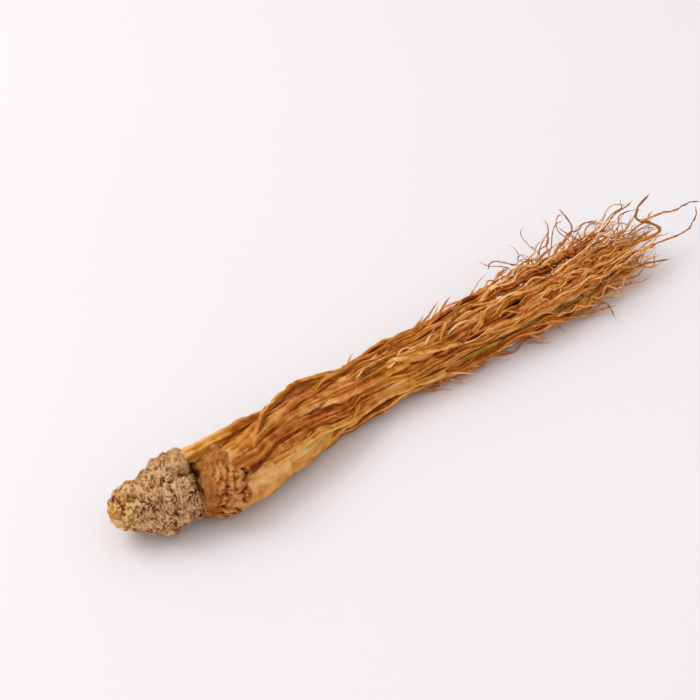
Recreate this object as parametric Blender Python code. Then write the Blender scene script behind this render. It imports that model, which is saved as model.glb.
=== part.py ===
"""One dried angelica root, laid down as it is sold.

A ringed, corky crown narrows to a groove, swells into a lumpy collar, and parts into a bundle of
lateral roots that run out into rootlets and fine hairs. All of it grew as one piece, so it is one
solid. It lies along +X with its crown at -X and rests on the plane z = 0.

Every named size is in millimetres, and places along the root are measured from the crown's tip.
Angles round the root are in degrees: 0 is +Y, 90 is up and 180 is -Y.
"""

import collections
import math

import bmesh
import bpy
import numpy as np

MM = 0.001
NODE = "angelica_root"
SEED = 38

# The middle line of crown, collar and bundle: along, sideways, height
CENTRELINE = (
    (0.0, 6.8, 11.2),
    (12.0, 6.0, 10.0),
    (22.0, 3.2, 10.6),
    (32.0, -0.4, 10.4),
    (46.0, 0.8, 9.2),
    (63.0, 3.6, 8.0),
    (85.0, 5.0, 7.2),
    (108.0, 3.4, 7.2),
    (127.0, 0.4, 7.6),
    (148.0, 0.6, 7.4),
    (171.0, -2.8, 7.4),
    (201.0, -0.6, 6.4),
    (250.0, -2.0, 6.4),
)

# Crown, collar and the core that they send into the bundle: along, radius
TRUNK = (
    (0.0, 3.2),
    (1.2, 4.9),
    (3.0, 6.2),
    (6.0, 7.3),
    (9.0, 8.3),
    (11.5, 9.4),
    (14.0, 10.5),
    (18.0, 11.2),
    (22.0, 10.2),
    (24.4, 8.0),
    (25.6, 6.7),
    (27.4, 8.4),
    (31.0, 10.4),
    (36.0, 10.5),
    (40.0, 9.4),
    (46.0, 7.4),
    (58.0, 5.0),
    (76.0, 3.0),
    (94.0, 1.8),
)
RINGED_TO, TRUNK_STEP, CORE_STEP = 48.0, 1.2, 7.0
TRUNK_SIDES = 18

# Relief of the bark
RING_PITCH, RING_DEPTH, RING_WAVER = 3.5, 0.8, 0.9
LUMP_HEIGHT, FLUTE_DEPTH, KNUCKLE_HEIGHT = 0.75, 0.8, 0.45
RINGS_TO, FLUTES_FROM, FLUTES_TO = 25.0, 27.0, 58.0

# Low shoulders left by old stalks and buds: along, angle, radius, how much of it is sunk in
SHOULDERS = (
    (22.0, 84.0, 6.2, 3.8),
    (24.0, 48.0, 4.8, 2.6),
    (10.5, 126.0, 5.0, 4.2),
    (9.0, 30.0, 5.0, 4.2),
    (13.0, 214.0, 4.6, 3.6),
    (31.0, 196.0, 3.6, 2.2),
    (33.0, 140.0, 3.4, 2.2),
)

# Outline of the bundle across its length: along, half width, half height
BUNDLE = (
    (20.0, 11.6, 11.4),
    (40.0, 11.4, 10.6),
    (63.0, 10.4, 8.4),
    (85.0, 9.2, 7.2),
    (108.0, 9.4, 7.2),
    (127.0, 10.4, 7.6),
    (148.0, 10.4, 7.4),
    (171.0, 11.4, 7.4),
    (201.0, 9.4, 6.4),
    (250.0, 9.0, 6.0),
)
FIRST_STATION, LAST_STATION, STATION_STEP = 16.0, 210.0, 5.5
HELD_TO = 44.0  # the collar holds the roots in place up to here

# Lateral roots that stand out: start, end, radius, and (along, angle, depth) points
# A root of depth 1 lies just inside the outline of the bundle
LEADING_ROOTS = (
    (20.0, 192.0, 2.2, ((20.0, 52.0, 0.8), (30.0, 51.0, 1.14), (42.0, 50.0, 1.18),
                        (58.0, 62.0, 1.04), (82.0, 90.0, 1.0), (139.0, 96.0, 0.9))),
    (36.0, 200.0, 2.9, ((36.0, 178.0, 0.95), (49.0, 194.0, 1.0), (79.0, 192.0, 1.0),
                        (92.0, 204.0, 1.0), (150.0, 207.0, 1.0))),
    (38.0, 203.0, 1.4, ((38.0, 126.0, 1.0), (64.0, 142.0, 1.05), (76.0, 146.0, 1.02),
                        (105.0, 152.0, 1.0), (170.0, 150.0, 1.0))),
    (34.0, 188.0, 1.7, ((34.0, 102.0, 1.0), (52.0, 82.0, 1.05), (80.0, 62.0, 1.0),
                        (160.0, 58.0, 1.0))),
    (44.0, 197.0, 1.5, ((44.0, 160.0, 0.9), (60.0, 164.0, 1.0), (78.0, 170.0, 1.05),
                        (100.0, 182.0, 1.04), (114.0, 195.0, 1.0), (190.0, 192.0, 1.0))),
    (38.0, 205.0, 2.0, ((38.0, 108.0, 0.95), (80.0, 108.0, 1.0), (108.0, 126.0, 1.0),
                        (146.0, 140.0, 1.0), (190.0, 124.0, 1.0))),
)
OUTER_ROOTS, INNER_ROOTS, BRANCHES = 12, 7, 14
ROOT_RADII, BRANCH_RADII = (1.15, 1.85), (0.85, 1.3)
ROOT_STARTS, ROOT_ENDS = (31.0, 42.0), (152.0, 204.0)
BRANCH_STARTS, BRANCH_ENDS = (78.0, 128.0), (168.0, 206.0)
ROOT_SWELL, SWELL_LENGTH = 1.45, 34.0  # how much thicker a root is where it leaves the collar
ROOT_TIP = 0.42  # share of its radius left at its end
ROOT_SINK = 5.0  # how far back inside its parent a root begins

# How the roots wander: an outer root and an inner one round the bundle, a branch off its root
OUTER_DEPTH, INNER_DEPTH, DEPTH_SWING = 1.0, 0.5, 0.12
OUTER_SWING, INNER_SWING, BRANCH_SWING = 16.0, 40.0, 6.0
BRANCH_LEAVES, BRANCH_LEAVES_OVER = (6.0, 16.0), 40.0
SWING_PITCH, DEPTH_PITCH, BRANCH_PITCH = 120.0, 90.0, 80.0
ROOT_WAVE, ROOT_WAVE_PITCH = 0.6, 33.0

ROOT_SIDES, ROOT_POINTS = 6, 15
BRANCH_SIDES, BRANCH_POINTS = 4, 10

# How the roots settle against each other and on the surface below
PACKING, SETTLE_ROUNDS = 0.84, 160
SETTLE_PUSH, SETTLE_PULL, SETTLE_SMOOTH = 0.32, 0.06, 0.35
PRESSED = 0.88  # a root's middle comes this share of its radius near the surface below

# Thin roots that lie over the bundle: radius, and (along, angle, lift above the bundle) points
CROSSING_ROOTS = (
    (1.1, ((40.0, 113.0, -0.6), (48.0, 92.0, 0.7), (56.0, 71.0, 0.9), (64.0, 54.0, 1.6),
           (70.0, 50.0, 2.6), (77.0, 54.0, 2.2), (84.0, 68.0, 0.6), (91.0, 76.0, -0.7))),
    (1.0, ((60.0, 202.0, -0.7), (67.0, 192.0, 0.6), (74.0, 178.0, 0.8), (82.0, 163.0, 0.6),
           (90.0, 152.0, -0.7))),
    (0.8, ((119.0, 129.0, -0.6), (122.0, 108.0, 0.9), (126.0, 84.0, 0.9), (134.0, 62.0, 0.8),
           (142.0, 50.0, -0.4))),
    (0.8, ((128.0, 138.0, -0.6), (135.0, 126.0, 0.8), (140.0, 106.0, 1.3), (145.0, 88.0, -0.6))),
    (0.9, ((138.0, 144.0, -0.6), (146.0, 122.0, 0.8), (156.0, 106.0, 1.0), (164.0, 126.0, 0.9),
           (168.0, 150.0, -0.5))),
    (0.9, ((94.0, 100.0, -0.6), (104.0, 114.0, 0.7), (118.0, 132.0, 0.8), (132.0, 138.0, -0.7))),
)
CROSSING_SIDES, CROSSING_POINTS = 5, 10
CROSSING_TIP = 0.75  # share of its radius left at its far end
BRIDGE_STEP, BRIDGE_ROUNDS = 1.5, 10  # how smoothly they span the gaps between the roots below

# Rootlets, which leave the roots for the far end
ROOTLETS = 34
ROOTLET_RADII, ROOTLET_TIP = (0.5, 0.8), 0.55
ROOTLET_STARTS, ROOTLET_LENGTHS = (108.0, 186.0), (20.0, 48.0)
ROOTLET_SWINGS, ROOTLET_WAVE, ROOTLET_WAVE_PITCH = (1.5, 6.5), 1.5, 30.0
ROOTLET_SIDES, ROOTLET_POINTS = 3, 8

# Long hairs at the end, each leaving the nearest root or hair: radius, and (along, sideways, height)
# points
HAIRS = (
    (1.15, ((180.0, -3.0, 8.0), (194.0, -3.0, 9.0), (206.0, -4.0, 10.0), (216.0, -8.0, 12.0),
            (219.5, -8.5, 13.5), (218.5, -5.0, 15.0), (214.0, -2.0, 17.0), (217.0, -0.5, 20.0),
            (221.0, -1.5, 24.0))),
    (0.7, ((214.5, -3.0, 16.4), (219.0, -6.0, 18.0), (227.0, -9.0, 19.0), (235.0, -12.0, 20.0))),
    (0.75, ((184.0, 3.0, 8.0), (200.0, 7.5, 9.5), (206.0, 6.0, 12.0), (211.0, 5.0, 16.0),
            (218.0, 4.0, 20.0))),
    (0.7, ((178.0, 8.0, 7.0), (190.0, 11.0, 9.0), (199.0, 13.0, 12.0), (199.5, 20.0, 16.0))),
    (0.85, ((176.0, -10.0, 5.0), (189.0, -10.0, 6.0), (200.0, -10.5, 6.0), (210.0, -12.0, 5.6),
            (219.0, -15.0, 4.6))),
    (0.65, ((184.0, -4.0, 8.0), (200.0, -5.0, 7.6), (216.0, -7.0, 7.0), (232.0, -9.0, 6.0),
            (244.0, -5.0, 4.0), (252.0, 1.0, 2.6))),
    (0.65, ((170.0, -12.0, 6.0), (180.0, -13.0, 5.0), (185.0, -16.0, 3.4), (184.0, -21.0, 1.2))),
    (0.65, ((176.0, 5.0, 6.0), (192.0, 14.0, 5.0), (206.0, 19.0, 3.6), (222.0, 21.0, 1.2))),
    (0.65, ((184.0, 2.0, 4.0), (206.0, 6.0, 3.0), (226.0, 7.0, 2.0), (240.0, 10.0, 1.0))),
)
HAIR_SIDES, HAIR_POINTS, HAIR_TIP = 3, 10, 0.5

TO_CENTRE = (-125.8, 0.0)  # this shift puts the middle of the root's box on the origin
BLOCK = (400.0, 200.0, 40.0)

# Needle faces that the union leaves are merged away, shortest sides first
SHORT_SIDES, MERGE_ROUNDS, LEAST_TURN = (0.1, 0.3, 0.6), 6, 0.35
ON_PLANE = 1e-4

BARK_COLOUR = (0.36, 0.19, 0.085, 1.0)
BARK_ROUGHNESS = 0.78

Track = collections.namedtuple("Track", "start end radius swell angles depths phases host")
Rootlet = collections.namedtuple("Rootlet", "host start length swing radius phases")


def through(points, at):
    """The values at the places `at` of a smooth line through points; their first column is the place."""
    table = np.array(points, float)
    place, value = table[:, 0], table[:, 1:]
    slope = np.gradient(value, place, axis=0)
    at = np.atleast_1d(at)
    i = np.clip(np.searchsorted(place, at) - 1, 0, len(place) - 2)
    gap = (place[i + 1] - place[i])[:, None]
    t = np.clip((at - place[i])[:, None] / gap, 0, 1)
    return (
        value[i] * (2 * t**3 - 3 * t**2 + 1)
        + value[i + 1] * (3 * t**2 - 2 * t**3)
        + slope[i] * gap * (t**3 - 2 * t**2 + t)
        + slope[i + 1] * gap * (t**3 - t**2)
    )


def wave(along, pitch, phases):
    """A slow wave between about -1 and 1."""
    turn = math.tau * along / pitch
    return 0.65 * np.sin(turn + phases[0]) + 0.35 * np.sin(2.3 * turn + phases[1])


def root_tracks(draw, stations):
    """The lateral roots and their branches, with their angle and depth at each station."""
    tracks = []
    for start, end, radius, points in LEADING_ROOTS:
        angle, depth = through(points, stations).T
        phases = draw.uniform(0, math.tau, 4)
        tracks.append(Track(start, end, radius, ROOT_SWELL, angle, depth, phases, None))
    middle = len(stations) // 3
    free = np.arange(0, 360, 5)
    for _ in range(OUTER_ROOTS):
        taken = np.array([track.angles[middle] for track in tracks])
        clear = np.abs((free[:, None] - taken + 180) % 360 - 180).min(axis=1)
        angle = free[clear.argmax()] + draw.uniform(-4, 4)
        tracks.append(one_root(draw, stations, angle, OUTER_DEPTH, OUTER_SWING))
    for number in range(INNER_ROOTS):
        angle = 360 * number / INNER_ROOTS + draw.uniform(-15, 15)
        tracks.append(one_root(draw, stations, angle, INNER_DEPTH, INNER_SWING))
    outside = len(LEADING_ROOTS) + OUTER_ROOTS
    for number in range(BRANCHES):
        tracks.append(one_branch(draw, stations, tracks, number % outside))
    return tracks


def one_root(draw, stations, angle, depth, swing):
    start, end = draw.uniform(*ROOT_STARTS), draw.uniform(*ROOT_ENDS)
    radius = draw.uniform(*ROOT_RADII)
    phases = draw.uniform(0, math.tau, 4)
    angles = angle + swing * wave(stations, SWING_PITCH, phases[:2])
    depths = depth + DEPTH_SWING * wave(stations, DEPTH_PITCH, phases[2:])
    return Track(start, end, radius, ROOT_SWELL, angles, depths, phases, None)


def one_branch(draw, stations, tracks, host):
    start, end = draw.uniform(*BRANCH_STARTS), draw.uniform(*BRANCH_ENDS)
    radius = draw.uniform(*BRANCH_RADII)
    phases = draw.uniform(0, math.tau, 4)
    away = draw.choice((-1, 1)) * draw.uniform(*BRANCH_LEAVES)
    away = away + BRANCH_SWING * wave(stations, BRANCH_PITCH, phases[:2])
    angles = tracks[host].angles + away * np.clip((stations - start) / BRANCH_LEAVES_OVER, 0, 1)
    return Track(start, end, radius, 1.0, angles, tracks[host].depths, phases, host)


def root_radius(track, along):
    """The radius along one root: swollen at the collar, thin at its end."""
    leaving = np.clip((along - track.start) / SWELL_LENGTH, 0, 1)
    run = np.clip((along - track.start) / (track.end - track.start), 0, 1)
    swell = track.swell + (1 - track.swell) * leaving
    return track.radius * swell * (1 - (1 - ROOT_TIP) * run**2.2)


def settle(tracks, stations):
    """The (sideways, height) place of each root at each station, once they lie on each other."""
    middle, half = through(CENTRELINE, stations), through(BUNDLE, stations)
    radius = np.array([root_radius(track, stations) for track in tracks])
    target = []
    for track, size in zip(tracks, radius):
        turn = np.radians(track.angles)
        reach = np.stack((np.cos(turn), np.sin(turn)), axis=-1) * half * track.depths[:, None]
        length = np.linalg.norm(reach, axis=1)
        target.append(middle + reach * (np.maximum(length - size, 0) / length)[:, None])
    target = np.array(target)
    there = np.array(
        [(stations > t.start - STATION_STEP) & (stations < t.end + STATION_STEP) for t in tracks]
    )
    meet = (there[:, None] & there[None]) & ~np.eye(len(tracks), dtype=bool)[..., None]
    free = (stations > HELD_TO)[None, :, None]
    place = target.copy()
    for _ in range(SETTLE_ROUNDS):
        gap = place[:, None] - place[None]
        apart = np.linalg.norm(gap, axis=-1) + 1e-6
        push = np.clip(PACKING * (radius[:, None] + radius[None]) - apart, 0, None) * meet
        step = SETTLE_PUSH * (gap * (push / apart)[..., None]).sum(axis=1)
        step += SETTLE_PULL * (target - place)
        step[:, 1:-1] += SETTLE_SMOOTH * ((place[:, :-2] + place[:, 2:]) / 2 - place[:, 1:-1])
        place = place + step * free
        place[..., 1] = np.maximum(place[..., 1], radius * PRESSED)
    return place


class Bundle:
    """The settled roots, which every thinner root is placed by."""

    def __init__(self, draw):
        self.stations = np.arange(FIRST_STATION, LAST_STATION, STATION_STEP)
        self.tracks = root_tracks(draw, self.stations)
        self.place = settle(self.tracks, self.stations)
        self.rootlets = [self.one_rootlet(draw) for _ in range(ROOTLETS)]

    def across(self, number, along):
        """The (sideways, height) places of one root, with its own fine waver."""
        track, along = self.tracks[number], np.atleast_1d(along)
        places = through(np.column_stack((self.stations, self.place[number])), along)
        free = np.clip((along - HELD_TO) / 20.0, 0, 1) * ROOT_WAVE
        places[:, 0] += free * wave(along, ROOT_WAVE_PITCH, track.phases[:2])
        places[:, 1] += free * wave(along, ROOT_WAVE_PITCH, track.phases[2:])
        return places

    def root_line(self, number, count):
        """(points, radii) of one root, which begins inside what it grows from."""
        track = self.tracks[number]
        along = np.linspace(track.start, track.end, count)
        across = self.across(number, along)
        begin = track.start - ROOT_SINK
        if track.host is None:
            middle = through(CENTRELINE, begin)[0]
            base = middle + 0.45 * (across[0] - middle)
        else:
            base = self.across(track.host, begin)[0]
        points = np.vstack(((begin, *base), np.column_stack((along, across))))
        radii = root_radius(track, along)
        return points, np.append(radii[0], radii)

    def surface(self, along, angle):
        """How far the bundle reaches from its middle, at one place and angle."""
        middle = through(CENTRELINE, along)[0]
        way = np.array((math.cos(math.radians(angle)), math.sin(math.radians(angle))))
        found = np.interp(along, *np.transpose(TRUNK))
        for number, track in enumerate(self.tracks):
            if track.start < along < track.end:
                centre = self.across(number, along)[0] - middle
                ahead = centre @ way
                aside = root_radius(track, along) ** 2 - (centre @ centre - ahead**2)
                if aside > 0:
                    found = max(found, ahead + math.sqrt(aside))
        return found

    def over(self, route, count):
        """Points of a line that lies over the bundle and spans its gaps, from (along, angle, lift) points."""
        start, end = route[0][0], route[-1][0]
        steps = np.arange(start, end + BRIDGE_STEP, BRIDGE_STEP)
        reach = np.array([self.surface(x, angle) for x, (angle, _) in zip(steps, through(route, steps))])
        for _ in range(BRIDGE_ROUNDS):
            reach[1:-1] = (reach[:-2] + 2 * reach[1:-1] + reach[2:]) / 4
        along = np.linspace(start, end, count)
        angle, lift = through(route, along).T
        turn, reach = np.radians(angle), np.interp(along, steps, reach) + lift
        way = np.column_stack((np.cos(turn), np.sin(turn)))
        return np.column_stack((along, through(CENTRELINE, along) + reach[:, None] * way))

    def one_rootlet(self, draw):
        host = int(draw.integers(len(self.tracks)))
        start = min(draw.uniform(*ROOTLET_STARTS), self.tracks[host].end - 10.0)
        length, swing = draw.uniform(*ROOTLET_LENGTHS), draw.uniform(*ROOTLET_SWINGS)
        radius = draw.uniform(*ROOTLET_RADII)
        return Rootlet(host, start, length, swing, radius, draw.uniform(0, math.tau, 4))

    def rootlet_line(self, rootlet, count):
        """(points, radii) of a rootlet: it leaves its root, wavers, and runs on outwards."""
        run = np.linspace(0, 1, count)
        along = rootlet.start + rootlet.length * run
        across = self.across(rootlet.host, np.minimum(along, self.tracks[rootlet.host].end))
        out = across[0] - through(CENTRELINE, rootlet.start)[0]
        out = out / max(np.linalg.norm(out), 1.0)
        across += out * (rootlet.swing * run**1.5)[:, None]
        for axis in (0, 1):
            phases = rootlet.phases[2 * axis : 2 * axis + 2]
            across[:, axis] += ROOTLET_WAVE * wave(along, ROOTLET_WAVE_PITCH, phases) * run
        across[:, 1] = np.maximum(across[:, 1], rootlet.radius)
        return np.column_stack((along, across)), rootlet.radius * (1 - (1 - ROOTLET_TIP) * run)

    def hair_line(self, radius, route, count):
        """(points, radii) of a hair through its route, begun in the middle of the nearest root."""
        route = np.array(route)
        begin, *place = route[0]
        near = [
            self.across(number, begin)[0]
            for number, track in enumerate(self.tracks)
            if track.start < begin < track.end
        ]
        if near:
            route[0, 1:] = min(near, key=lambda centre: np.linalg.norm(centre - place))
        steps = np.linspace(0, len(route) - 1, count)
        points = through(np.column_stack((np.arange(len(route)), route)), steps)
        return points, np.linspace(radius, HAIR_TIP * radius, count)


def bark_relief(along, angle):
    """How far the bark stands out of the trunk's round form, for an angle in radians."""
    # The crown is ringed up to its groove, with rings that waver and break
    crown = np.clip((RINGS_TO - along) / 2, 0, 1) * np.clip(along / 2.5, 0, 1)
    waver = RING_WAVER * (np.sin(2 * angle + 0.21 * along) + 0.6 * np.sin(5 * angle - 0.3 * along))
    rings = -RING_DEPTH * (0.5 + 0.5 * np.cos(math.tau * along / RING_PITCH + waver))
    # Low lumps run over all of it, one turn of them every 20 to 30 mm
    lumps = np.sin(3 * angle + 0.23 * along) * np.cos(2 * angle - 0.17 * along + 1.0)
    lumps = lumps + 0.5 * np.sin(angle + 0.35 * along)
    # The collar is fluted lengthwise, between the roots that leave it, and knobbly
    collar = np.clip((along - FLUTES_FROM) / 4, 0, 1) * np.clip((FLUTES_TO - along) / 12, 0, 1)
    flutes = np.cos(8 * angle + 1.4 * np.sin(0.16 * along))
    knuckles = np.sin(0.9 * along + 3 * angle)
    return (
        crown * rings
        + LUMP_HEIGHT * lumps
        + collar * (FLUTE_DEPTH * flutes + KNUCKLE_HEIGHT * knuckles)
    )


def clear_scene():
    for thing in list(bpy.data.objects):
        bpy.data.objects.remove(thing, do_unlink=True)


def new_collection(name):
    made = bpy.data.collections.new(name)
    bpy.context.scene.collection.children.link(made)
    return made


def outline(sides, ridge=0.0, flat=1.0):
    """A closed outline of radius 1 mm, for a tube's section; ridge lets every second corner in."""
    curve = bpy.data.curves.new("outline", "CURVE")
    curve.dimensions = "2D"
    spline = curve.splines.new("POLY")
    spline.points.add(sides - 1)
    for k, point in enumerate(spline.points):
        turn = math.tau * k / sides
        reach = MM * (1 - ridge * (k % 2))
        point.co = (reach * math.cos(turn) * flat, reach * math.sin(turn) / flat, 0, 1)
    spline.use_cyclic_u = True
    made = bpy.data.objects.new("outline", curve)
    bpy.context.scene.collection.objects.link(made)
    return made


def tube(name, home, points, radii, section, tilt=0.0):
    """A closed tube mesh along points, in millimetres."""
    curve = bpy.data.curves.new(name, "CURVE")
    curve.dimensions = "3D"
    curve.bevel_mode = "OBJECT"
    curve.bevel_object = section
    curve.use_fill_caps = True
    curve.twist_mode = "Z_UP"
    spline = curve.splines.new("POLY")
    spline.points.add(len(points) - 1)
    for place, radius, point in zip(points, radii, spline.points):
        point.co = (*(MM * np.asarray(place)), 1)
        point.radius = radius
        point.tilt = tilt
    guide = bpy.data.objects.new(name, curve)
    bpy.context.scene.collection.objects.link(guide)
    graph = bpy.context.evaluated_depsgraph_get()
    mesh = bpy.data.meshes.new_from_object(guide.evaluated_get(graph))
    made = bpy.data.objects.new(name, mesh)
    made.matrix_world = guide.matrix_world
    home.objects.link(made)
    bpy.data.objects.remove(guide, do_unlink=True)
    shape = bmesh.new()
    shape.from_mesh(mesh)
    bmesh.ops.remove_doubles(shape, verts=shape.verts, dist=1e-6)
    bmesh.ops.recalc_face_normals(shape, faces=shape.faces)
    shape.to_mesh(mesh)
    shape.free()
    return made


def make_trunk(home):
    """Crown, collar and core: a tapered tube, then the relief of its bark."""
    along = np.arange(0.0, RINGED_TO, TRUNK_STEP)
    along = np.append(along, np.arange(along[-1] + CORE_STEP, TRUNK[-1][0], CORE_STEP))
    middle = np.column_stack((along, through(CENTRELINE, along)))
    section = outline(TRUNK_SIDES)
    trunk = tube("trunk", home, middle, through(TRUNK, along)[:, 0], section)
    bpy.data.objects.remove(section, do_unlink=True)
    for vertex in trunk.data.vertices:
        here = np.array(vertex.co) / MM
        station = np.linalg.norm(middle - here, axis=1).argmin()
        out = here - middle[station]
        out /= np.linalg.norm(out)
        here += out * bark_relief(along[station], math.atan2(out[2], out[1]))
        vertex.co = here * MM
    return trunk


def make_shoulders(home):
    """Low rounded lumps on crown and collar, each a flattened sphere sunk into them."""
    for number, (along, angle, radius, sunk) in enumerate(SHOULDERS):
        middle = np.array((along, *through(CENTRELINE, along)[0]))
        turn = math.radians(angle)
        out = np.array((0.0, math.cos(turn), math.sin(turn)))
        centre = MM * (middle + out * (through(TRUNK, along)[0, 0] - sunk))
        bpy.ops.mesh.primitive_ico_sphere_add(subdivisions=2, radius=radius * MM, location=centre)
        lump = bpy.context.active_object
        lump.name = f"shoulder_{number}"
        lump.rotation_euler = (turn, 0.3 * number, 0.2)
        lump.scale = (0.95, 0.95, 1.15)
        for other in list(lump.users_collection):
            other.objects.unlink(lump)
        home.objects.link(lump)


def make_roots(home, bundle):
    """The lateral roots as ridged tubes, and the branches and inner roots as plainer ones."""
    ridged = [outline(ROOT_SIDES, 0.16, flat) for flat in (1.0, 1.12, 1.24)]
    plain = outline(BRANCH_SIDES)
    for number in range(len(bundle.tracks)):
        outer = number < len(LEADING_ROOTS) + OUTER_ROOTS
        points, radii = bundle.root_line(number, ROOT_POINTS if outer else BRANCH_POINTS)
        section = ridged[number % len(ridged)] if outer else plain
        tube(f"root_{number}", home, points, radii, section, 0.6 * number)
    for section in (*ridged, plain):
        bpy.data.objects.remove(section, do_unlink=True)


def make_thin_roots(home, bundle):
    """The thin roots over the bundle, the rootlets and the hairs."""
    round_section, fine_section = outline(CROSSING_SIDES), outline(HAIR_SIDES)
    for number, (radius, route) in enumerate(CROSSING_ROOTS):
        points = bundle.over(route, CROSSING_POINTS)
        radii = np.linspace(radius, CROSSING_TIP * radius, CROSSING_POINTS)
        tube(f"crossing_{number}", home, points, radii, round_section)
    for number, rootlet in enumerate(bundle.rootlets):
        points, radii = bundle.rootlet_line(rootlet, ROOTLET_POINTS)
        tube(f"rootlet_{number}", home, points, radii, fine_section)
    for number, (radius, route) in enumerate(HAIRS):
        points, radii = bundle.hair_line(radius, route, HAIR_POINTS)
        tube(f"hair_{number}", home, points, radii, fine_section)
    for section in (round_section, fine_section):
        bpy.data.objects.remove(section, do_unlink=True)


def block_below(home):
    """What presses the underside flat: a block whose top is the plane z = 0."""
    middle = (-TO_CENTRE[0] * MM, 0, -BLOCK[2] * MM / 2)
    bpy.ops.mesh.primitive_cube_add(size=1, location=middle)
    block = bpy.context.active_object
    block.name = "surface_below"
    block.scale = [side * MM for side in BLOCK]
    for other in list(block.users_collection):
        other.objects.unlink(block)
    home.objects.link(block)
    block.hide_render = True
    block.display_type = "WIRE"
    return block


def join(trunk, grown):
    """One Boolean union of the trunk with everything that grows from it."""
    union = trunk.modifiers.new("grown_together", "BOOLEAN")
    union.operation = "UNION"
    union.operand_type = "COLLECTION"
    union.collection = grown
    union.solver = "MANIFOLD"
    apply_modifiers(trunk)
    for thing in list(grown.objects):
        bpy.data.objects.remove(thing, do_unlink=True)
    bpy.data.collections.remove(grown)


def trim(body, block):
    cut = body.modifiers.new("resting_side", "BOOLEAN")
    cut.operation = "DIFFERENCE"
    cut.object = block
    cut.solver = "MANIFOLD"
    apply_modifiers(body)


def apply_modifiers(thing):
    graph = bpy.context.evaluated_depsgraph_get()
    mesh = bpy.data.meshes.new_from_object(thing.evaluated_get(graph))
    thing.modifiers.clear()
    thing.data = mesh


def meeting(edge):
    """Where the ends of an edge meet: its middle, but still on the resting plane if either is on it."""
    middle = (edge.verts[0].co + edge.verts[1].co) / 2
    if min(end.co.z for end in edge.verts) < ON_PLANE * MM:
        middle.z = 0.0
    return middle


def may_merge(edge):
    """Whether an edge can shrink to a point, with the surface left closed and no face turned."""
    a, b = edge.verts
    beside = {link.other_vert(b) for link in b.link_edges}
    shared = [link.other_vert(a) for link in a.link_edges if link.other_vert(a) in beside]
    if len(edge.link_faces) != 2 or len(shared) != 2:
        return False
    if min(len(corner.link_edges) for corner in shared) < 4:
        return False
    middle = meeting(edge)
    for end in (a, b):
        for face in end.link_faces:
            if edge in face.edges:
                continue
            one, two, three = (middle if corner is end else corner.co for corner in face.verts)
            turned = (two - one).cross(three - one).normalized()
            if turned.dot(face.normal) < LEAST_TURN:
                return False
    return True


def merge_short_sides(body):
    """Drops the needle faces that the union leaves where roots graze each other."""
    shape = bmesh.new()
    shape.from_mesh(body.data)
    midway = [corner for corner in shape.verts if len(corner.link_edges) == 2]
    bmesh.ops.dissolve_verts(shape, verts=midway)
    bmesh.ops.triangulate(shape, faces=shape.faces)
    for shortest in SHORT_SIDES:
        for _ in range(MERGE_ROUNDS):
            shape.normal_update()
            shape.edges.index_update()
            used, chosen = set(), []
            for edge in sorted(shape.edges, key=lambda side: (side.calc_length(), side.index)):
                if edge.calc_length() > shortest * MM:
                    break
                faces = {face for end in edge.verts for face in end.link_faces}
                near = {corner for face in faces for corner in face.verts}
                if near & used or not may_merge(edge):
                    continue
                used |= near
                chosen.append(edge)
            if not chosen:
                break
            for edge in chosen:
                middle = meeting(edge)
                for end in edge.verts:
                    end.co = middle
            bmesh.ops.collapse(shape, edges=chosen, uvs=False)
    shape.to_mesh(body.data)
    shape.free()


def keep_one_body(body):
    """Leaves the largest connected surface: sealed hollows are filled and loose scraps dropped."""
    shape = bmesh.new()
    shape.from_mesh(body.data)
    left, islands = set(shape.faces), []
    while left:
        front = [left.pop()]
        island = list(front)
        while front:
            for edge in front.pop().edges:
                for face in edge.link_faces:
                    if face in left:
                        left.discard(face)
                        island.append(face)
                        front.append(face)
        islands.append(island)
    islands.sort(key=len)
    loose = [face for island in islands[:-1] for face in island]
    bmesh.ops.delete(shape, geom=loose, context="FACES")
    bare = [corner for corner in shape.verts if not corner.link_faces]
    bmesh.ops.delete(shape, geom=bare, context="VERTS")
    shape.to_mesh(body.data)
    shape.free()


def bark():
    material = bpy.data.materials.new("dried_root_bark")
    material.use_nodes = True
    shader = material.node_tree.nodes["Principled BSDF"]
    shader.inputs["Base Color"].default_value = BARK_COLOUR
    shader.inputs["Roughness"].default_value = BARK_ROUGHNESS
    shader.inputs["Metallic"].default_value = 0.0
    return material


def main():
    clear_scene()
    names = ("dried_angelica_root", "cutters", "grown")
    root, cutters, grown = (new_collection(name) for name in names)
    bundle = Bundle(np.random.default_rng(SEED))
    body = make_trunk(root)
    make_shoulders(grown)
    make_roots(grown, bundle)
    make_thin_roots(grown, bundle)
    join(body, grown)
    trim(body, block_below(cutters))
    merge_short_sides(body)
    keep_one_body(body)
    body.name = body.data.name = NODE
    for vertex in body.data.vertices:
        vertex.co.x += TO_CENTRE[0] * MM
        vertex.co.y += TO_CENTRE[1] * MM
    body.data.materials.clear()
    body.data.materials.append(bark())
    body.data.shade_smooth()
    body.data.set_sharp_from_angle(angle=math.radians(40))


if __name__ == "__main__":
    main()
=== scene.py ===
"""The looks of one dried angelica root: corky crown, knobbly collar, wrinkled roots and wiry hairs.

It is laid out as a Blender add-on and run as a script. Sizes in the tables are in millimetres and
places along the root are measured from the crown's tip. Angles round the root are in degrees:
0 is +Y, 90 is up and 180 is -Y.
"""

import collections
import itertools
import math

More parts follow.
